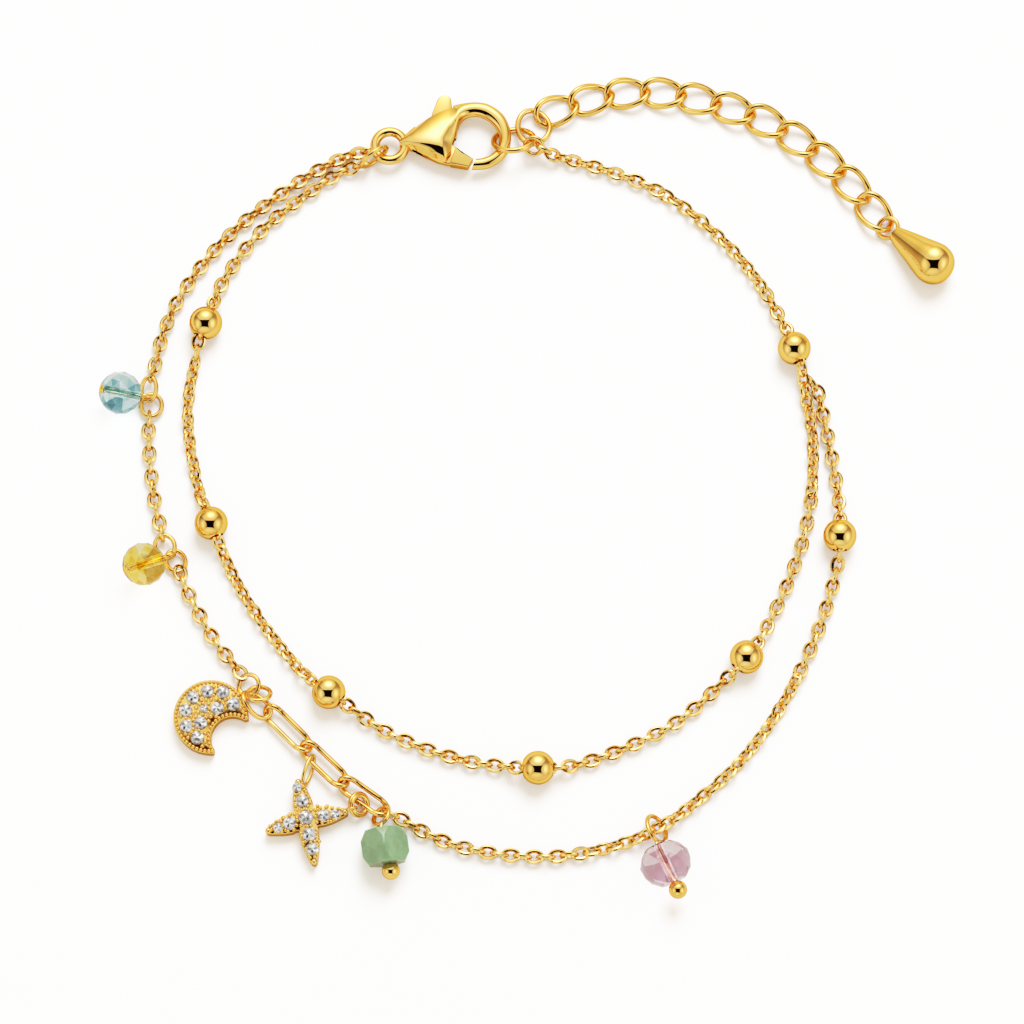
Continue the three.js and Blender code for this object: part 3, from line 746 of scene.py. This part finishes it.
# The first link is rounder than the others, which follow one another to the drop.
form = {"long": 1.72, "wide": 1.46, "twist": 0.2, "steps": 56}
ring_piece("extender_link_1", (2.0, 36.2, 0.92), 97, 10, 3, 0.52, **form)
EXTENDER_HEIGHT = 0.67
EXTENDER = [
    (4.09, 37.88), (7.3, 38.99), (10.6, 39.56), (13.94, 39.55), (17.2, 38.95), (20.35, 38.0),
    (23.4, 36.75), (26.25, 35.0), (28.8, 32.95), (31.15, 30.6), (33.15, 28.0),
]
for i, (x, y) in enumerate(EXTENDER):
    before = EXTENDER[max(i - 1, 0)]
    after = EXTENDER[min(i + 1, len(EXTENDER) - 1)]
    turn = math.degrees(math.atan2(after[1] - before[1], after[0] - before[0]))
    form = {"long": 1.945, "wide": 1.27, "wire": 0.57, "twist": -0.42, "steps": 56}
    ring_piece(f"extender_link_{i + 2}", (x, y, EXTENDER_HEIGHT), turn, **form)

# Half the length of each paperclip link's straight sides, its place, turn, pitch and roll.
PAPERCLIPS = [
    (1.4, (-19.88, -20.0, 0.72), -45, -2, -1),
    (1.4, (-16.6, -23.24, 0.87), -44, -2, 1),
    (1.25, (-13.08, -26.11, 0.83), -35, 2, 2),
]
for i, (straight, *place) in enumerate(PAPERCLIPS):
    form = {"long": 1.28, "wide": 0.68, "wire": 0.5, "twist": -0.3, "straight": straight}
    ring_piece(f"paperclip_link_{i + 1}", *place, **form)

# Each small ring's place, turn, pitch, roll and half sizes.
SMALL_RINGS = {
    "blue_ring_upper": ((-32.82, 11.2, 1.02), 86, 0, -2, 1.12, 0.66),
    "blue_ring_lower": ((-32.6, 9.78, 0.57), -94, 2, -1, 1.02, 0.95),
    "yellow_ring_upper": ((-31.1, -3.42, 0.97), 109, 4, -4, 1.05, 0.88),
    "yellow_ring_lower": ((-30.13, -4.68, 0.52), -63, 5, -3, 1.0, 0.85),
    "moon_ring": ((-23.4, -16.06, 0.77), -1, -21, 5, 0.97, 0.95),
}
for name, (*place, long, wide) in SMALL_RINGS.items():
    ring_piece(name, *place, long=long, wide=wide)
ring_piece("oval_link", (-22.7, -17.9, 1.05), -39, 15, -25, 0.46, long=1.5, wide=0.86, twist=0.2)
coil = Form().add(ring(0.97, wire=0.42), placed((-13.51, -26.83, 0.82), 55, 17, 38))
coil.add(ring(0.8, wire=0.38), placed((-13.42, -26.9, 1.12), 50, 22, 30))
coil.made("star_side_ring_wire", [GOLD], ["star_side_ring"])


# ---- end drop


def drop_profile():
    """Radius and height from the flat neck over the belly to the rounded end."""
    neck = [(0.62, 0.0), (0.70, 0.03)]
    places = [(0.74, 0.12), (1.1, 1.4), (1.52, 3.0), (1.82, 4.1), (1.93, 4.75)]
    places += [(1.78, 5.6), (1.3, 6.25), (0.6, 6.6), (0.02, 6.68)]
    curve = smooth_route([(r, h, 0) for r, h in places])
    return [(0.02, 0.0), *neck, *[(max(p.x, 0.015), p.y) for p in curve[::3]]]


drop_at = placed((34.91, 26.03, 0.84), -43.8, -14)
drop = Form().add(lathed(drop_profile(), 56), drop_at)
drop.add(ring(0.95, wire=0.42), drop_at @ placed((-0.8, 0, 0), roll=18))
drop.made("end_drop_polished", [GOLD], ["end_drop"])


# ---- clasp

CLASP_MIDDLE = 1.3
RIVET = (-6.6, 34.8)
RIVET_RADIUS = 0.32
RIVET_HOLE = 0.45
# Outer edge, inner edge, half height, how domed, and where the crease runs: from the neck through
# the body and round the hook. The hook's own sections are round and have no crease.
BODY = [
    ((-10.35, 34.75), (-10.3, 34.1), 0.42, 0.0, -0.5),
    ((-9.95, 35.14), (-9.85, 34.0), 0.6, 0.3, -0.5),
    ((-9.4, 35.68), (-9.3, 33.78), 0.82, 0.8, -0.5),
    ((-8.6, 36.36), (-8.55, 33.4), 1.05, 1.0, -0.54),
    ((-7.55, 37.1), (-7.65, 32.94), 1.22, 1.0, -0.61),
    ((-6.7, 37.57), (-6.85, 32.58), 1.29, 1.0, -0.74),
    ((-6.1, 37.84), (-6.15, 32.48), 1.28, 1.0, -0.86),
    ((-5.75, 37.97), (-5.68, 32.95), 1.24, 1.0, -0.9),
    ((-5.45, 38.08), (-5.32, 33.75), 1.16, 0.9, -0.9),
    ((-5.2, 38.17), (-5.12, 34.6), 1.06, 0.8, -0.9),
    ((-4.95, 38.24), (-5.02, 35.45), 0.94, 0.6, -0.9),
    ((-4.6, 38.33), (-4.76, 36.3), 0.8, 0.4, -0.9),
    ((-4.0, 38.42), (-4.26, 36.86), 0.68, 0.15, -0.9),
]
HOOK = [
    ((-3.2, 38.44), (-3.4, 37.08), 0.61), ((-2.1, 38.22), (-2.55, 36.88), 0.6),
    ((-0.8, 37.25), (-1.8, 36.3), 0.6), ((-0.3, 36.3), (-1.35, 35.65), 0.6),
    ((-0.08, 35.3), (-1.17, 35.0), 0.6), ((-0.15, 34.3), (-1.22, 34.4), 0.6),
    ((-0.5, 33.35), (-1.5, 33.85), 0.6), ((-1.25, 32.6), (-2.0, 33.35), 0.58),
    ((-2.3, 32.06), (-2.65, 33.07), 0.56), ((-3.7, 31.95), (-3.24, 32.97), 0.54),
]


def round_section(share):
    """Half of a rounded section, from the outer edge over the top to the inner edge."""
    a = math.pi * share
    return math.copysign(abs(math.cos(a)) ** 0.9, math.cos(a)), abs(math.sin(a)) ** 0.9


def domed_section(share, crease):
    """The same half with a domed top, a near-level strip down to a crease, and a sloping flank."""
    strip = 0.1 - (crease + 0.54)
    crest = crease + strip
    if share < 0.62:
        u = 1 - share / 0.62
        return crest + (1 - crest) * u, 0.2 + 0.8 * (1 - u * u)
    if share < 0.78:
        u = (share - 0.62) / 0.16
        return crest - strip * u, 1 - strip * (0.4 * u + 0.1 * u * u)
    u = (share - 0.78) / 0.22
    return crease - (1 + crease) * u, (1 - strip / 2) * (1 - 0.78 * u)


# The line over the body where it turns down toward the hook's opening.
SHOULDER = [
    (-5.85, 32.4), (-5.95, 32.9), (-6.4, 34.3), (-5.95, 35.6), (-5.4, 36.5), (-4.5, 37.15),
    (-3.6, 37.5), (-2.4, 37.6), (-1.0, 37.2),
]


def past_shoulder(x, y):
    """How far a place lies beyond the shoulder, on the side of the hook's opening."""
    nearest = 100.0
    for one, other in zip(SHOULDER, SHOULDER[1:]):
        along = Vector(other) - Vector(one)
        off = Vector((x, y)) - Vector(one)
        share = max(0.0, min(1.0, off.dot(along) / along.dot(along)))
        away = (off - along * share).length
        if away < abs(nearest):
            nearest = math.copysign(away, off.x * along.y - off.y * along.x)
    return (nearest + math.hypot(nearest, 0.2)) / 2


def cast_body(sections, half_sides=24):
    """Sections lofted from neck to tip, the same above and below the middle."""
    outer = smooth_route([(*s[0], s[2]) for s in sections])[::4]
    inner = smooth_route([(*s[1], s[2]) for s in sections])[::4]
    shares = [j / half_sides for j in range(half_sides)]
    around = [(1, share) for share in shares] + [(-1, 1 - share) for share in shares]
    points = []
    for i, (one, other) in enumerate(zip(outer, inner)):
        k = min(i / 4, len(sections) - 1.001)
        ends = zip(sections[int(k)][3:], sections[int(k) + 1][3:])
        domed, crease = [first + (second - first) * (k % 1) for first, second in ends]
        middle = (one + other) / 2
        half = (one - other) / 2
        for side, share in around:
            plain, ridged = round_section(share), domed_section(share, crease)
            across, rise = [a + (b - a) * domed for a, b in zip(plain, ridged)]
            x, y = middle.x + half.x * across, middle.y + half.y * across
            high = middle.z * rise
            high *= math.exp(-0.75 * past_shoulder(x, y) * domed / max(high, 0.05))
            points.append((x, y, CLASP_MIDDLE + side * high))
    return points, skin(len(outer), 2 * half_sides)


def in_threes(points):
    """Each point of a closed outline between the one before and the one after."""
    return zip(points[-1:] + points, points, points[1:] + points[:1])


def slab(outline, low, high, bevel=0.1, steps=3):
    """A flat outline made solid, with rounded top and bottom edges."""
    flat = [Vector(p) for p in outline]
    inward = []
    for before, here, after in in_threes(flat):
        before = (here - before).normalized()
        after = (after - here).normalized()
        left = Vector((-before.y, before.x))
        way = left + Vector((-after.y, after.x))
        way = way.normalized() if way.length > 1e-6 else left
        inward.append(way / max(0.5, way.dot(left)))
    turns = [math.pi / 2 * i / steps for i in range(steps + 1)]
    rims = [(bevel * (1 - math.sin(a)), low + bevel * (1 - math.cos(a))) for a in turns]
    rims += [(bevel * (1 - math.cos(a)), high - bevel * (1 - math.sin(a))) for a in turns]
    points = [(*(p + w * inset), z) for inset, z in rims for p, w in zip(flat, inward)]
    return points, skin(len(rims), len(flat))


def rounded(outline, radius=0.2, steps=3):
    """Takes the points off an outline, given anticlockwise."""
    done = []
    for before, here, after in in_threes([Vector(p) for p in outline]):
        before, after = before - here, after - here
        cut = min(radius, before.length * 0.45, after.length * 0.45)
        start = here + before.normalized() * cut
        end = here + after.normalized() * cut
        for s in range(steps + 1):
            t = s / steps
            done.append(tuple(start * (1 - t) ** 2 + here * 2 * t * (1 - t) + end * t**2))
    return done


def cut_away(piece, shapes):
    """Cuts shapes out of a piece for good."""
    for points, faces in shapes:
        mesh = bpy.data.meshes.new("cutter")
        mesh.from_pydata([in_frame(p) for p in points], [], faces)
        cutter = linked("cutter", mesh)
        cut = piece.modifiers.new("cut", "BOOLEAN")
        cut.operation = "DIFFERENCE"
        cut.solver = "EXACT"
        cut.object = cutter
        bpy.context.view_layer.update()
        left_over = piece.evaluated_get(bpy.context.evaluated_depsgraph_get())
        left_over = bpy.data.meshes.new_from_object(left_over)
        piece.modifiers.clear()
        piece.data = left_over
        bpy.data.objects.remove(cutter)
    piece.data.polygons.foreach_set("use_smooth", [True] * len(piece.data.polygons))
    piece.data.set_sharp_from_angle(angle=CREASE)


def level_slab(outline, half, *edge):
    """A plate that reaches as far above the clasp's middle as below it."""
    return slab(outline, CLASP_MIDDLE - half, CLASP_MIDDLE + half, *edge)


# The slot that the gate swings in and the wider mouth for its end, with their half heights.
SLOT_HALF = 0.37
MOUTH_HALF = 0.62
SLOT = [
    (-5.5, 31.0), (-3.9, 31.0), (-3.9, 34.9), (-5.42, 35.0), (-5.42, 39.0), (-7.9, 39.0),
    (-8.8, 36.6), (-9.15, 34.4), (-9.1, 33.0), (-8.0, 31.0),
]
MOUTH = [(-5.85, 31.5), (-3.9, 31.5), (-3.9, 34.9), (-5.3, 34.9), (-5.85, 33.2)]
sections = BODY + [(*section, 0.0, -0.9) for section in HOOK]
casting = Form().add(cast_body(sections)).made("clasp_casting", [GOLD], ["clasp_body"])
cuts = ((SLOT, SLOT_HALF), (MOUTH, MOUTH_HALF))
cut_away(casting, [level_slab(outline, half, CLEAR, 1) for outline, half in cuts])
eye = Form().add(ring(1.37, wire=0.88, steps=56, sides=20), placed((-11.2, 34.24, CLASP_MIDDLE)))
eye.add(swept([(*RIVET, CLASP_MIDDLE - 1), (*RIVET, CLASP_MIDDLE + 1)], RIVET_RADIUS, 16))
eye.made("clasp_eye", [GOLD], ["clasp_body"])

GATE_HALF = 0.33
GATE_END_HALF = 0.6
GATE = [
    (-7.25, 36.4), (-7.4, 35.2), (-8.3, 34.3), (-8.35, 33.7), (-7.5, 33.0), (-6.7, 32.6),
    (-5.85, 32.38), (-4.02, 32.1), (-3.55, 32.85), (-4.55, 33.45), (-5.2, 34.0), (-5.75, 34.6),
    (-5.8, 36.5), (-5.5, 37.8), (-5.58, 38.75), (-5.9, 39.04), (-6.4, 39.06), (-6.8, 38.78),
    (-7.38, 37.2),
]
GATE_END = [(-5.7, 32.36), (-4.02, 32.06), (-3.52, 32.88), (-4.6, 33.5), (-5.15, 34.05)]
gate = Form().add(level_slab(rounded(GATE, 0.2), GATE_HALF))
gate.add(level_slab(rounded(GATE_END, 0.12), GATE_END_HALF))
gate = gate.made("clasp_gate", [GOLD], ["clasp_lever"], LEVER)
cut_away(gate, [swept([(*RIVET, 0), (*RIVET, 3)], RIVET_HOLE, 24)])


# ---- charms on headpins

PIN_BORE = 0.32
PIN_RADIUS = 0.18
LOOP_WIRE = 0.41
FLAT_HEAD = [(0.02, -0.19), (0.22, -0.17), (0.40, -0.09), (0.46, 0.0), (0.42, 0.04), (0.02, 0.05)]


def headpin(colour, head, tip, exit_at, loop_at, long, wide=None):
    """A pin with its head, a short stem past the stone, and the turned loop."""
    tip, exit_at = Vector(tip), Vector(exit_at)
    pin = Form().add(head, turned_to(exit_at - tip, tip))
    near = loop_at @ Vector((-(long - 0.02), 0, 0))
    stem = [tip, exit_at]
    if (near - exit_at).length > 0.05:
        stem = smooth_route([tip, exit_at + (tip - exit_at).normalized() * 0.2, exit_at, near])[::4]
    pin.add(swept(stem, PIN_RADIUS), finish=1)
    pin.add(ring(long, wide, LOOP_WIRE), loop_at)
    pin.made(f"{colour}_headpin_turned", [GOLD, PALE_GOLD], [f"{colour}_headpin"])


def faceted(rings, sides, bore):
    """Flat-cut glass round a drilled hole along X. Each band of facets is offset from the last."""
    points = []
    for k, (r, h) in enumerate(rings):
        points += [(h, r * c, r * s) for c, s in spokes(sides, 0.5 * (k % 2))]
    faces = []
    for k in range(len(rings) - 1):
        for j in range(sides):
            m = (j + 1) % sides
            a, b = k * sides + j, k * sides + m
            c, d = (k + 1) * sides + j, (k + 1) * sides + m
            faces += [(a, c, d), (a, d, b)] if k % 2 else [(a, c, b), (b, c, d)]
    start = len(points)
    last = start - sides
    for h in (rings[0][1], rings[-1][1]):
        points += [(h, bore * c, bore * s) for c, s in spokes(sides)]
    for j in range(sides):
        m = (j + 1) % sides
        faces.append((j, m, start + m, start + j))
        faces.append((last + m, last + j, start + sides + j, start + sides + m))
        faces.append((start + j, start + m, start + sides + m, start + sides + j))
    return points, faces


def cut_stone(name, glass, shape, place, seed):
    """Cut glass, its facets light and deep by turns: painted light and shade over the glass's tint.
    """
    # Each facet's painted light and shade, from a steady irregular number.
    swings = [wobble(seed + 1.31 * i) for i in range(len(shape[1]))]
    shades = [0.5 + 0.5 * math.copysign(abs(w) ** 0.7, w) for w in swings]
    stone = Form().add(shape, place, flat=True, facets=shades)
    stone.made(name + "_cut", [glass], [name], slot=name.split("_")[0] + "_glass", shades=False)


BALL_BANDS = (-1, -0.66, -0.33, 0, 0.33, 0.66, 1)


def crystal_ball(radius):
    """A ball cut in bands of facets between flat ends."""
    end = math.acos(0.78 / radius)
    rings = [(radius * math.cos(end * s), radius * math.sin(end * s)) for s in BALL_BANDS]
    return faceted(rings, 10, PIN_BORE)


BALL_RADIUS = 1.95
BALL_LOOP = 0.53


def ball_charm(colour, glass, loop, turn, tilt, reach):
    """A cut ball lying on the table. Its pin's loop is at a given place, a given reach away."""
    way = Vector((1, 0, 0))
    way.rotate(Euler((0, math.radians(tilt), math.radians(turn)), "XYZ"))
    middle = Vector((*loop, 0)) - way * reach
    middle.z = BALL_RADIUS + 0.02
    ball_at = placed(middle, turn, tilt)
    cut_stone(colour + "_crystal", glass, crystal_ball(BALL_RADIUS), ball_at, len(colour))
    exit_at = middle + way * (reach - BALL_LOOP + 0.02)
    loop_at = placed(middle + way * reach, turn, tilt, 90)
    headpin(colour, lathed(FLAT_HEAD, 24), middle - way * 1.8, exit_at, loop_at, BALL_LOOP)


ball_charm("blue", AQUA, (-33.2, 10.44), -4, 26, 2.35)
ball_charm("yellow", LEMON, (-30.75, -4.3), 25, 26, 2.6)

def cut_cube(half=1.55, ridge=2.14, corner=0.85):
    """A cube lying on an edge, its hole's axis along Y, with all its corners cut off flat; the hole
    itself is not cut.
    """
    points = []
    for k in range(4):
        out = Vector((math.sin(k * math.pi / 2), 0, math.cos(k * math.pi / 2)))
        side = Vector((out.z, 0, -out.x))
        slope = (side - out).normalized()
        other = (-side - out).normalized()
        for end in (-1, 1):
            along = Vector((0, end * (half - corner), 0))
            points += [out * (ridge - 0.07) + side * s + along for s in (-0.07, 0.07)]
            along = Vector((0, end * half, 0))
            points += [out * ridge + way * corner + along for way in (slope, other)]
    return hull(points)


def hull(points):
    """The outside of a set of corners as flat faces."""
    work = bmesh.new()
    for p in points:
        work.verts.new(p)
    bmesh.ops.convex_hull(work, input=work.verts)
    bmesh.ops.dissolve_limit(work, angle_limit=0.01, verts=work.verts, edges=work.edges)
    work.verts.index_update()
    shape = [tuple(v.co) for v in work.verts], [tuple(v.index for v in f.verts) for f in work.faces]
    work.free()
    return shape


cube = Form().add(cut_cube(), placed((-11.15, -30.78, 2.09), 8), flat=True)
cube.made("green_cube_cut", [JADE], ["green_cube"], slot="green_stone")
at = placed((-11.54, -27.9, 1.02), 98, 36, -34)
headpin("green", ball(0.8), (-10.63, -32.88, 1.82), (-11.54, -29.22, 1.82), at, 0.86)


def cut_rondelle(radius, half, table):
    below = [(table, -half), (radius * 0.80, -half * 0.66), (radius * 0.97, -half * 0.24)]
    return faceted(below + [(r, -h) for r, h in reversed(below)], 10, PIN_BORE)


at = placed((13.48, -32.32, 2.35), 114.2, 0, 15)
cut_stone("pink_rondelle", ROSE, cut_rondelle(2.35, 1.76, 1.2), at, 2)
at = placed((12.74, -29.1, 1.2), 97, 24, 48)
headpin("pink", ball(0.82), (14.52, -34.64, 2.37), (12.68, -30.54, 2.37), at, 1.32, 1.2)


# ---- pave charms

BED = 1.28


def brilliant(radius, rise=0.3):
    """The crown of a round stone, with a painted light-and-shade value for each table, star, kite
    and girdle facet.
    """
    points = []
    bands = ((1, 16, 0, -0.12), (1, 16, 0, 0), (0.79, 8, 0.5, rise * 0.6), (0.55, 8, 0, rise))
    for share, count, shift, height in bands:
        out = radius * share
        points += [(out * c, out * s, height) for c, s in spokes(count, shift)]
    points.append((0, 0, rise))
    faces = [(j, (j + 1) % 16, 16 + (j + 1) % 16, 16 + j) for j in range(16)]
    shades = [0.5] * 16
    for j in range(8):
        k = (j + 1) % 8
        mid, last_mid = 32 + j, 32 + (j - 1) % 8
        faces += [(40 + j, last_mid, 16 + 2 * j, mid), (40 + j, mid, 40 + k)]
        shades += [0.95 if j % 2 else 0.62, 0.30 if j % 2 else 0.85]
        faces += [(mid, 16 + 2 * j, 17 + 2 * j), (mid, 17 + 2 * j, 16 + (2 * j + 2) % 16)]
        shades += [0.45 + 0.4 * wobble(j), 0.8 + 0.2 * wobble(j + 3)]
        faces.append((48, 40 + j, 40 + k))
        shades.append((0.95, 0.22, 0.75, 0.35)[j % 4])
    return points, faces, shades


def pave_charm(name, zero, plate, stones, grains, loops):
    """A flat casting set with stones and rows of grains, with its loops."""
    at = placed(zero)
    charm = Form().add(slab(plate, 0, BED), at)
    for i, (x, y, diameter) in enumerate(stones):
        points, faces, shades = brilliant(diameter / 2)
        # Each facet's painted light and shade, varied from stone to stone.
        shades = [0.8 * s + 0.3 * wobble(i * 3.1 + j) for j, s in enumerate(shades)]
        shades = [min(1.0, max(0.0, s)) for s in shades]
        seat = at @ placed((x, y, BED + 0.12), turn=37 * i)
        charm.add((points, faces), seat, finish=1, flat=True, facets=shades)
    for places, radius, height in grains:
        for x, y in places:
            charm.add(ball(radius, 10, 7), at @ placed((x, y, height)))
    for shape, place in loops:
        charm.add(shape, place)
    charm.made(name + "_pave", [PAVE_GOLD, BRILLIANT], [name])


def arc(centre, radius, start, end, steps):
    spread = [start + (end - start) * i / steps for i in range(steps + 1)]
    return [(centre[0] + radius * math.cos(a), centre[1] + radius * math.sin(a)) for a in spread]


def evenly(outline, gap, inset):
    """Places a steady gap apart just inside a closed anticlockwise outline."""
    shrunk = []
    for before, here, after in in_threes([Vector((*p, 0)) for p in outline]):
        way = (after - before).normalized()
        shrunk.append(here + Vector((-way.y, way.x, 0)) * inset)
    shrunk.append(shrunk[0])
    length = sum((b - a).length for a, b in zip(shrunk, shrunk[1:]))
    number = round(length / gap)
    return [(p.x, p.y) for p in along_route(shrunk, [length * i / number for i in range(number)])]


# Places across the charm and diameters of the stones.
MOON_STONES = [
    (-1.6, 1.7, 1.22), (-0.35, 2.25, 1.22), (1.05, 2.15, 1.22), (2.0, 1.1, 1.22),
    (0.55, 0.72, 1.22), (-0.6, 0.68, 0.8), (-2.25, 0.55, 1.22), (-2.15, -0.9, 1.22),
    (-0.9, -0.6, 1.22), (-1.15, -1.95, 1.22),
]
STAR_STONES = [
    (-0.8, 2.7, 0.94), (-0.35, 1.5, 1.22), (0, 0, 1.32), (1.6, 0.2, 1.2), (2.6, 0.3, 0.98),
    (-1.45, -0.5, 1.22), (-2.45, -0.9, 0.94), (0.3, -1.5, 1.3), (0.6, -2.8, 1.18),
]
# How far each arm of the star reaches, and which way it points.
STAR_ARMS = [(3.75, 9), (3.55, 103), (3.75, 199), (4.25, 281)]


def moon_outline():
    outer = 3.32
    bite = (1.92, -1.87)
    bite_radius = 1.88
    apart = math.hypot(*bite)
    toward = math.atan2(bite[1], bite[0])
    spread = math.acos((apart**2 + outer**2 - bite_radius**2) / (2 * apart * outer)) + 0.1
    rim = arc((0, 0), outer, toward + spread, toward - spread + 2 * math.pi, 60)
    start = math.atan2(rim[-1][1] - bite[1], rim[-1][0] - bite[0])
    end = math.atan2(rim[0][1] - bite[1], rim[0][0] - bite[0])
    end = end - 2 * math.pi if end > start else end
    return rim + arc(bite, bite_radius, start, end, 26)[1:-1]


def between_stones(stones, reach=1.45):
    """A gold grain between each pair of neighbouring stones."""
    grains = []
    for i, (x, y, d) in enumerate(stones):
        for x2, y2, d2 in stones[i + 1 :]:
            if math.hypot(x2 - x, y2 - y) < reach * (d + d2) / 2:
                share = d / (d + d2)
                grains.append((x + (x2 - x) * share, y + (y2 - y) * share))
    return grains


def inside(outline, x, y):
    """Whether a place lies within a closed outline."""
    within = False
    for (x1, y1), (x2, y2) in zip(outline, outline[1:] + outline[:1]):
        if (y1 > y) != (y2 > y) and x < x1 + (x2 - x1) * (y - y1) / (y2 - y1):
            within = not within
    return within


def bed_grains(outline, stones, gap, margin):
    """Grains packed over the bed, clear of the stones and of the edge."""
    grains = []
    rows = range(-16, 17)
    for row in rows:
        for column in rows:
            x = (column + 0.5 * (row % 2)) * gap + 0.05 * wobble(row * 7 + column)
            y = row * gap * 0.87 + 0.05 * wobble(row + column * 5)
            clear = all(math.hypot(x - sx, y - sy) > d / 2 + 0.03 for sx, sy, d in stones)
            near = min(math.hypot(x - px, y - py) for px, py in outline)
            if clear and near > margin and inside(outline, x, y):
                grains.append((x, y))
    return grains


def heading(degrees):
    """A level direction, and the one to its left."""
    a = math.radians(degrees)
    return Vector((math.cos(a), math.sin(a))), Vector((-math.sin(a), math.cos(a)))


def star_outline():
    outline = []
    side = [(0.42, 0.86), (0.62, 0.72), (0.8, 0.5), (0.92, 0.34), (0.985, 0.2)]
    others = [angle for _, angle in STAR_ARMS[1:]] + [STAR_ARMS[0][1] + 360]
    for (reach, angle), other in zip(STAR_ARMS, others):
        way, across = heading(angle)
        outline += [tuple(way * reach * share - across * half) for share, half in side]
        outline.append(tuple(way * reach))
        outline += [tuple(way * reach * share + across * half) for share, half in side[::-1]]
        outline.append(tuple(heading((angle + other) / 2)[0] * 1.22))
    return outline


def arm_grains():
    """Grains along both sides of each arm."""
    grains = []
    for reach, angle in STAR_ARMS:
        way, across = heading(angle)
        for share, half in ((0.36, 0.66), (0.5, 0.62), (0.64, 0.5), (0.78, 0.36)):
            grains += [tuple(way * reach * share + across * h) for h in (-half, half)]
    return grains


moon = moon_outline()
moon_grains = [
    (evenly(moon, 0.37, 0.2), 0.175, BED + 0.08),
    (bed_grains(moon, MOON_STONES, 0.44, 0.46), 0.2, BED),
    (between_stones(MOON_STONES), 0.17, BED + 0.15),
]
moon_loops = [
    (ring(1.04, 1.02, 0.42), placed((-22.47, -16.96, 1.32), -4, -6, -42)),
    (swept([(-24.1, -17.45, 0.95), (-23.5, -16.95, 1.2)], 0.2), None),
]
pave_charm("moon_charm", (-26.7, -19.0, 0.02), moon, MOON_STONES, moon_grains, moon_loops)

star = star_outline()
star_grains = [
    (arm_grains(), 0.17, BED + 0.1),
    (bed_grains(star, STAR_STONES, 0.4, 0.2), 0.18, BED),
    ([tuple(heading(angle)[0] * 0.93 * reach) for reach, angle in STAR_ARMS], 0.3, BED - 0.12),
    (between_stones(STAR_STONES), 0.16, BED + 0.15),
]
star_loops = [
    (ring(1.4, 0.66, 0.34), placed((-18.01, -23.8, 0.89), 72, 2, 68)),
    (ring(0.44, wire=0.28), placed((-14.17, -27.27, 1.25), 11, -12, 99)),
]
plate = rounded(star, 0.15, 2)
pave_charm("star_charm", (-18.15, -28.1, 0.02), plate, STAR_STONES, star_grains, star_loops)
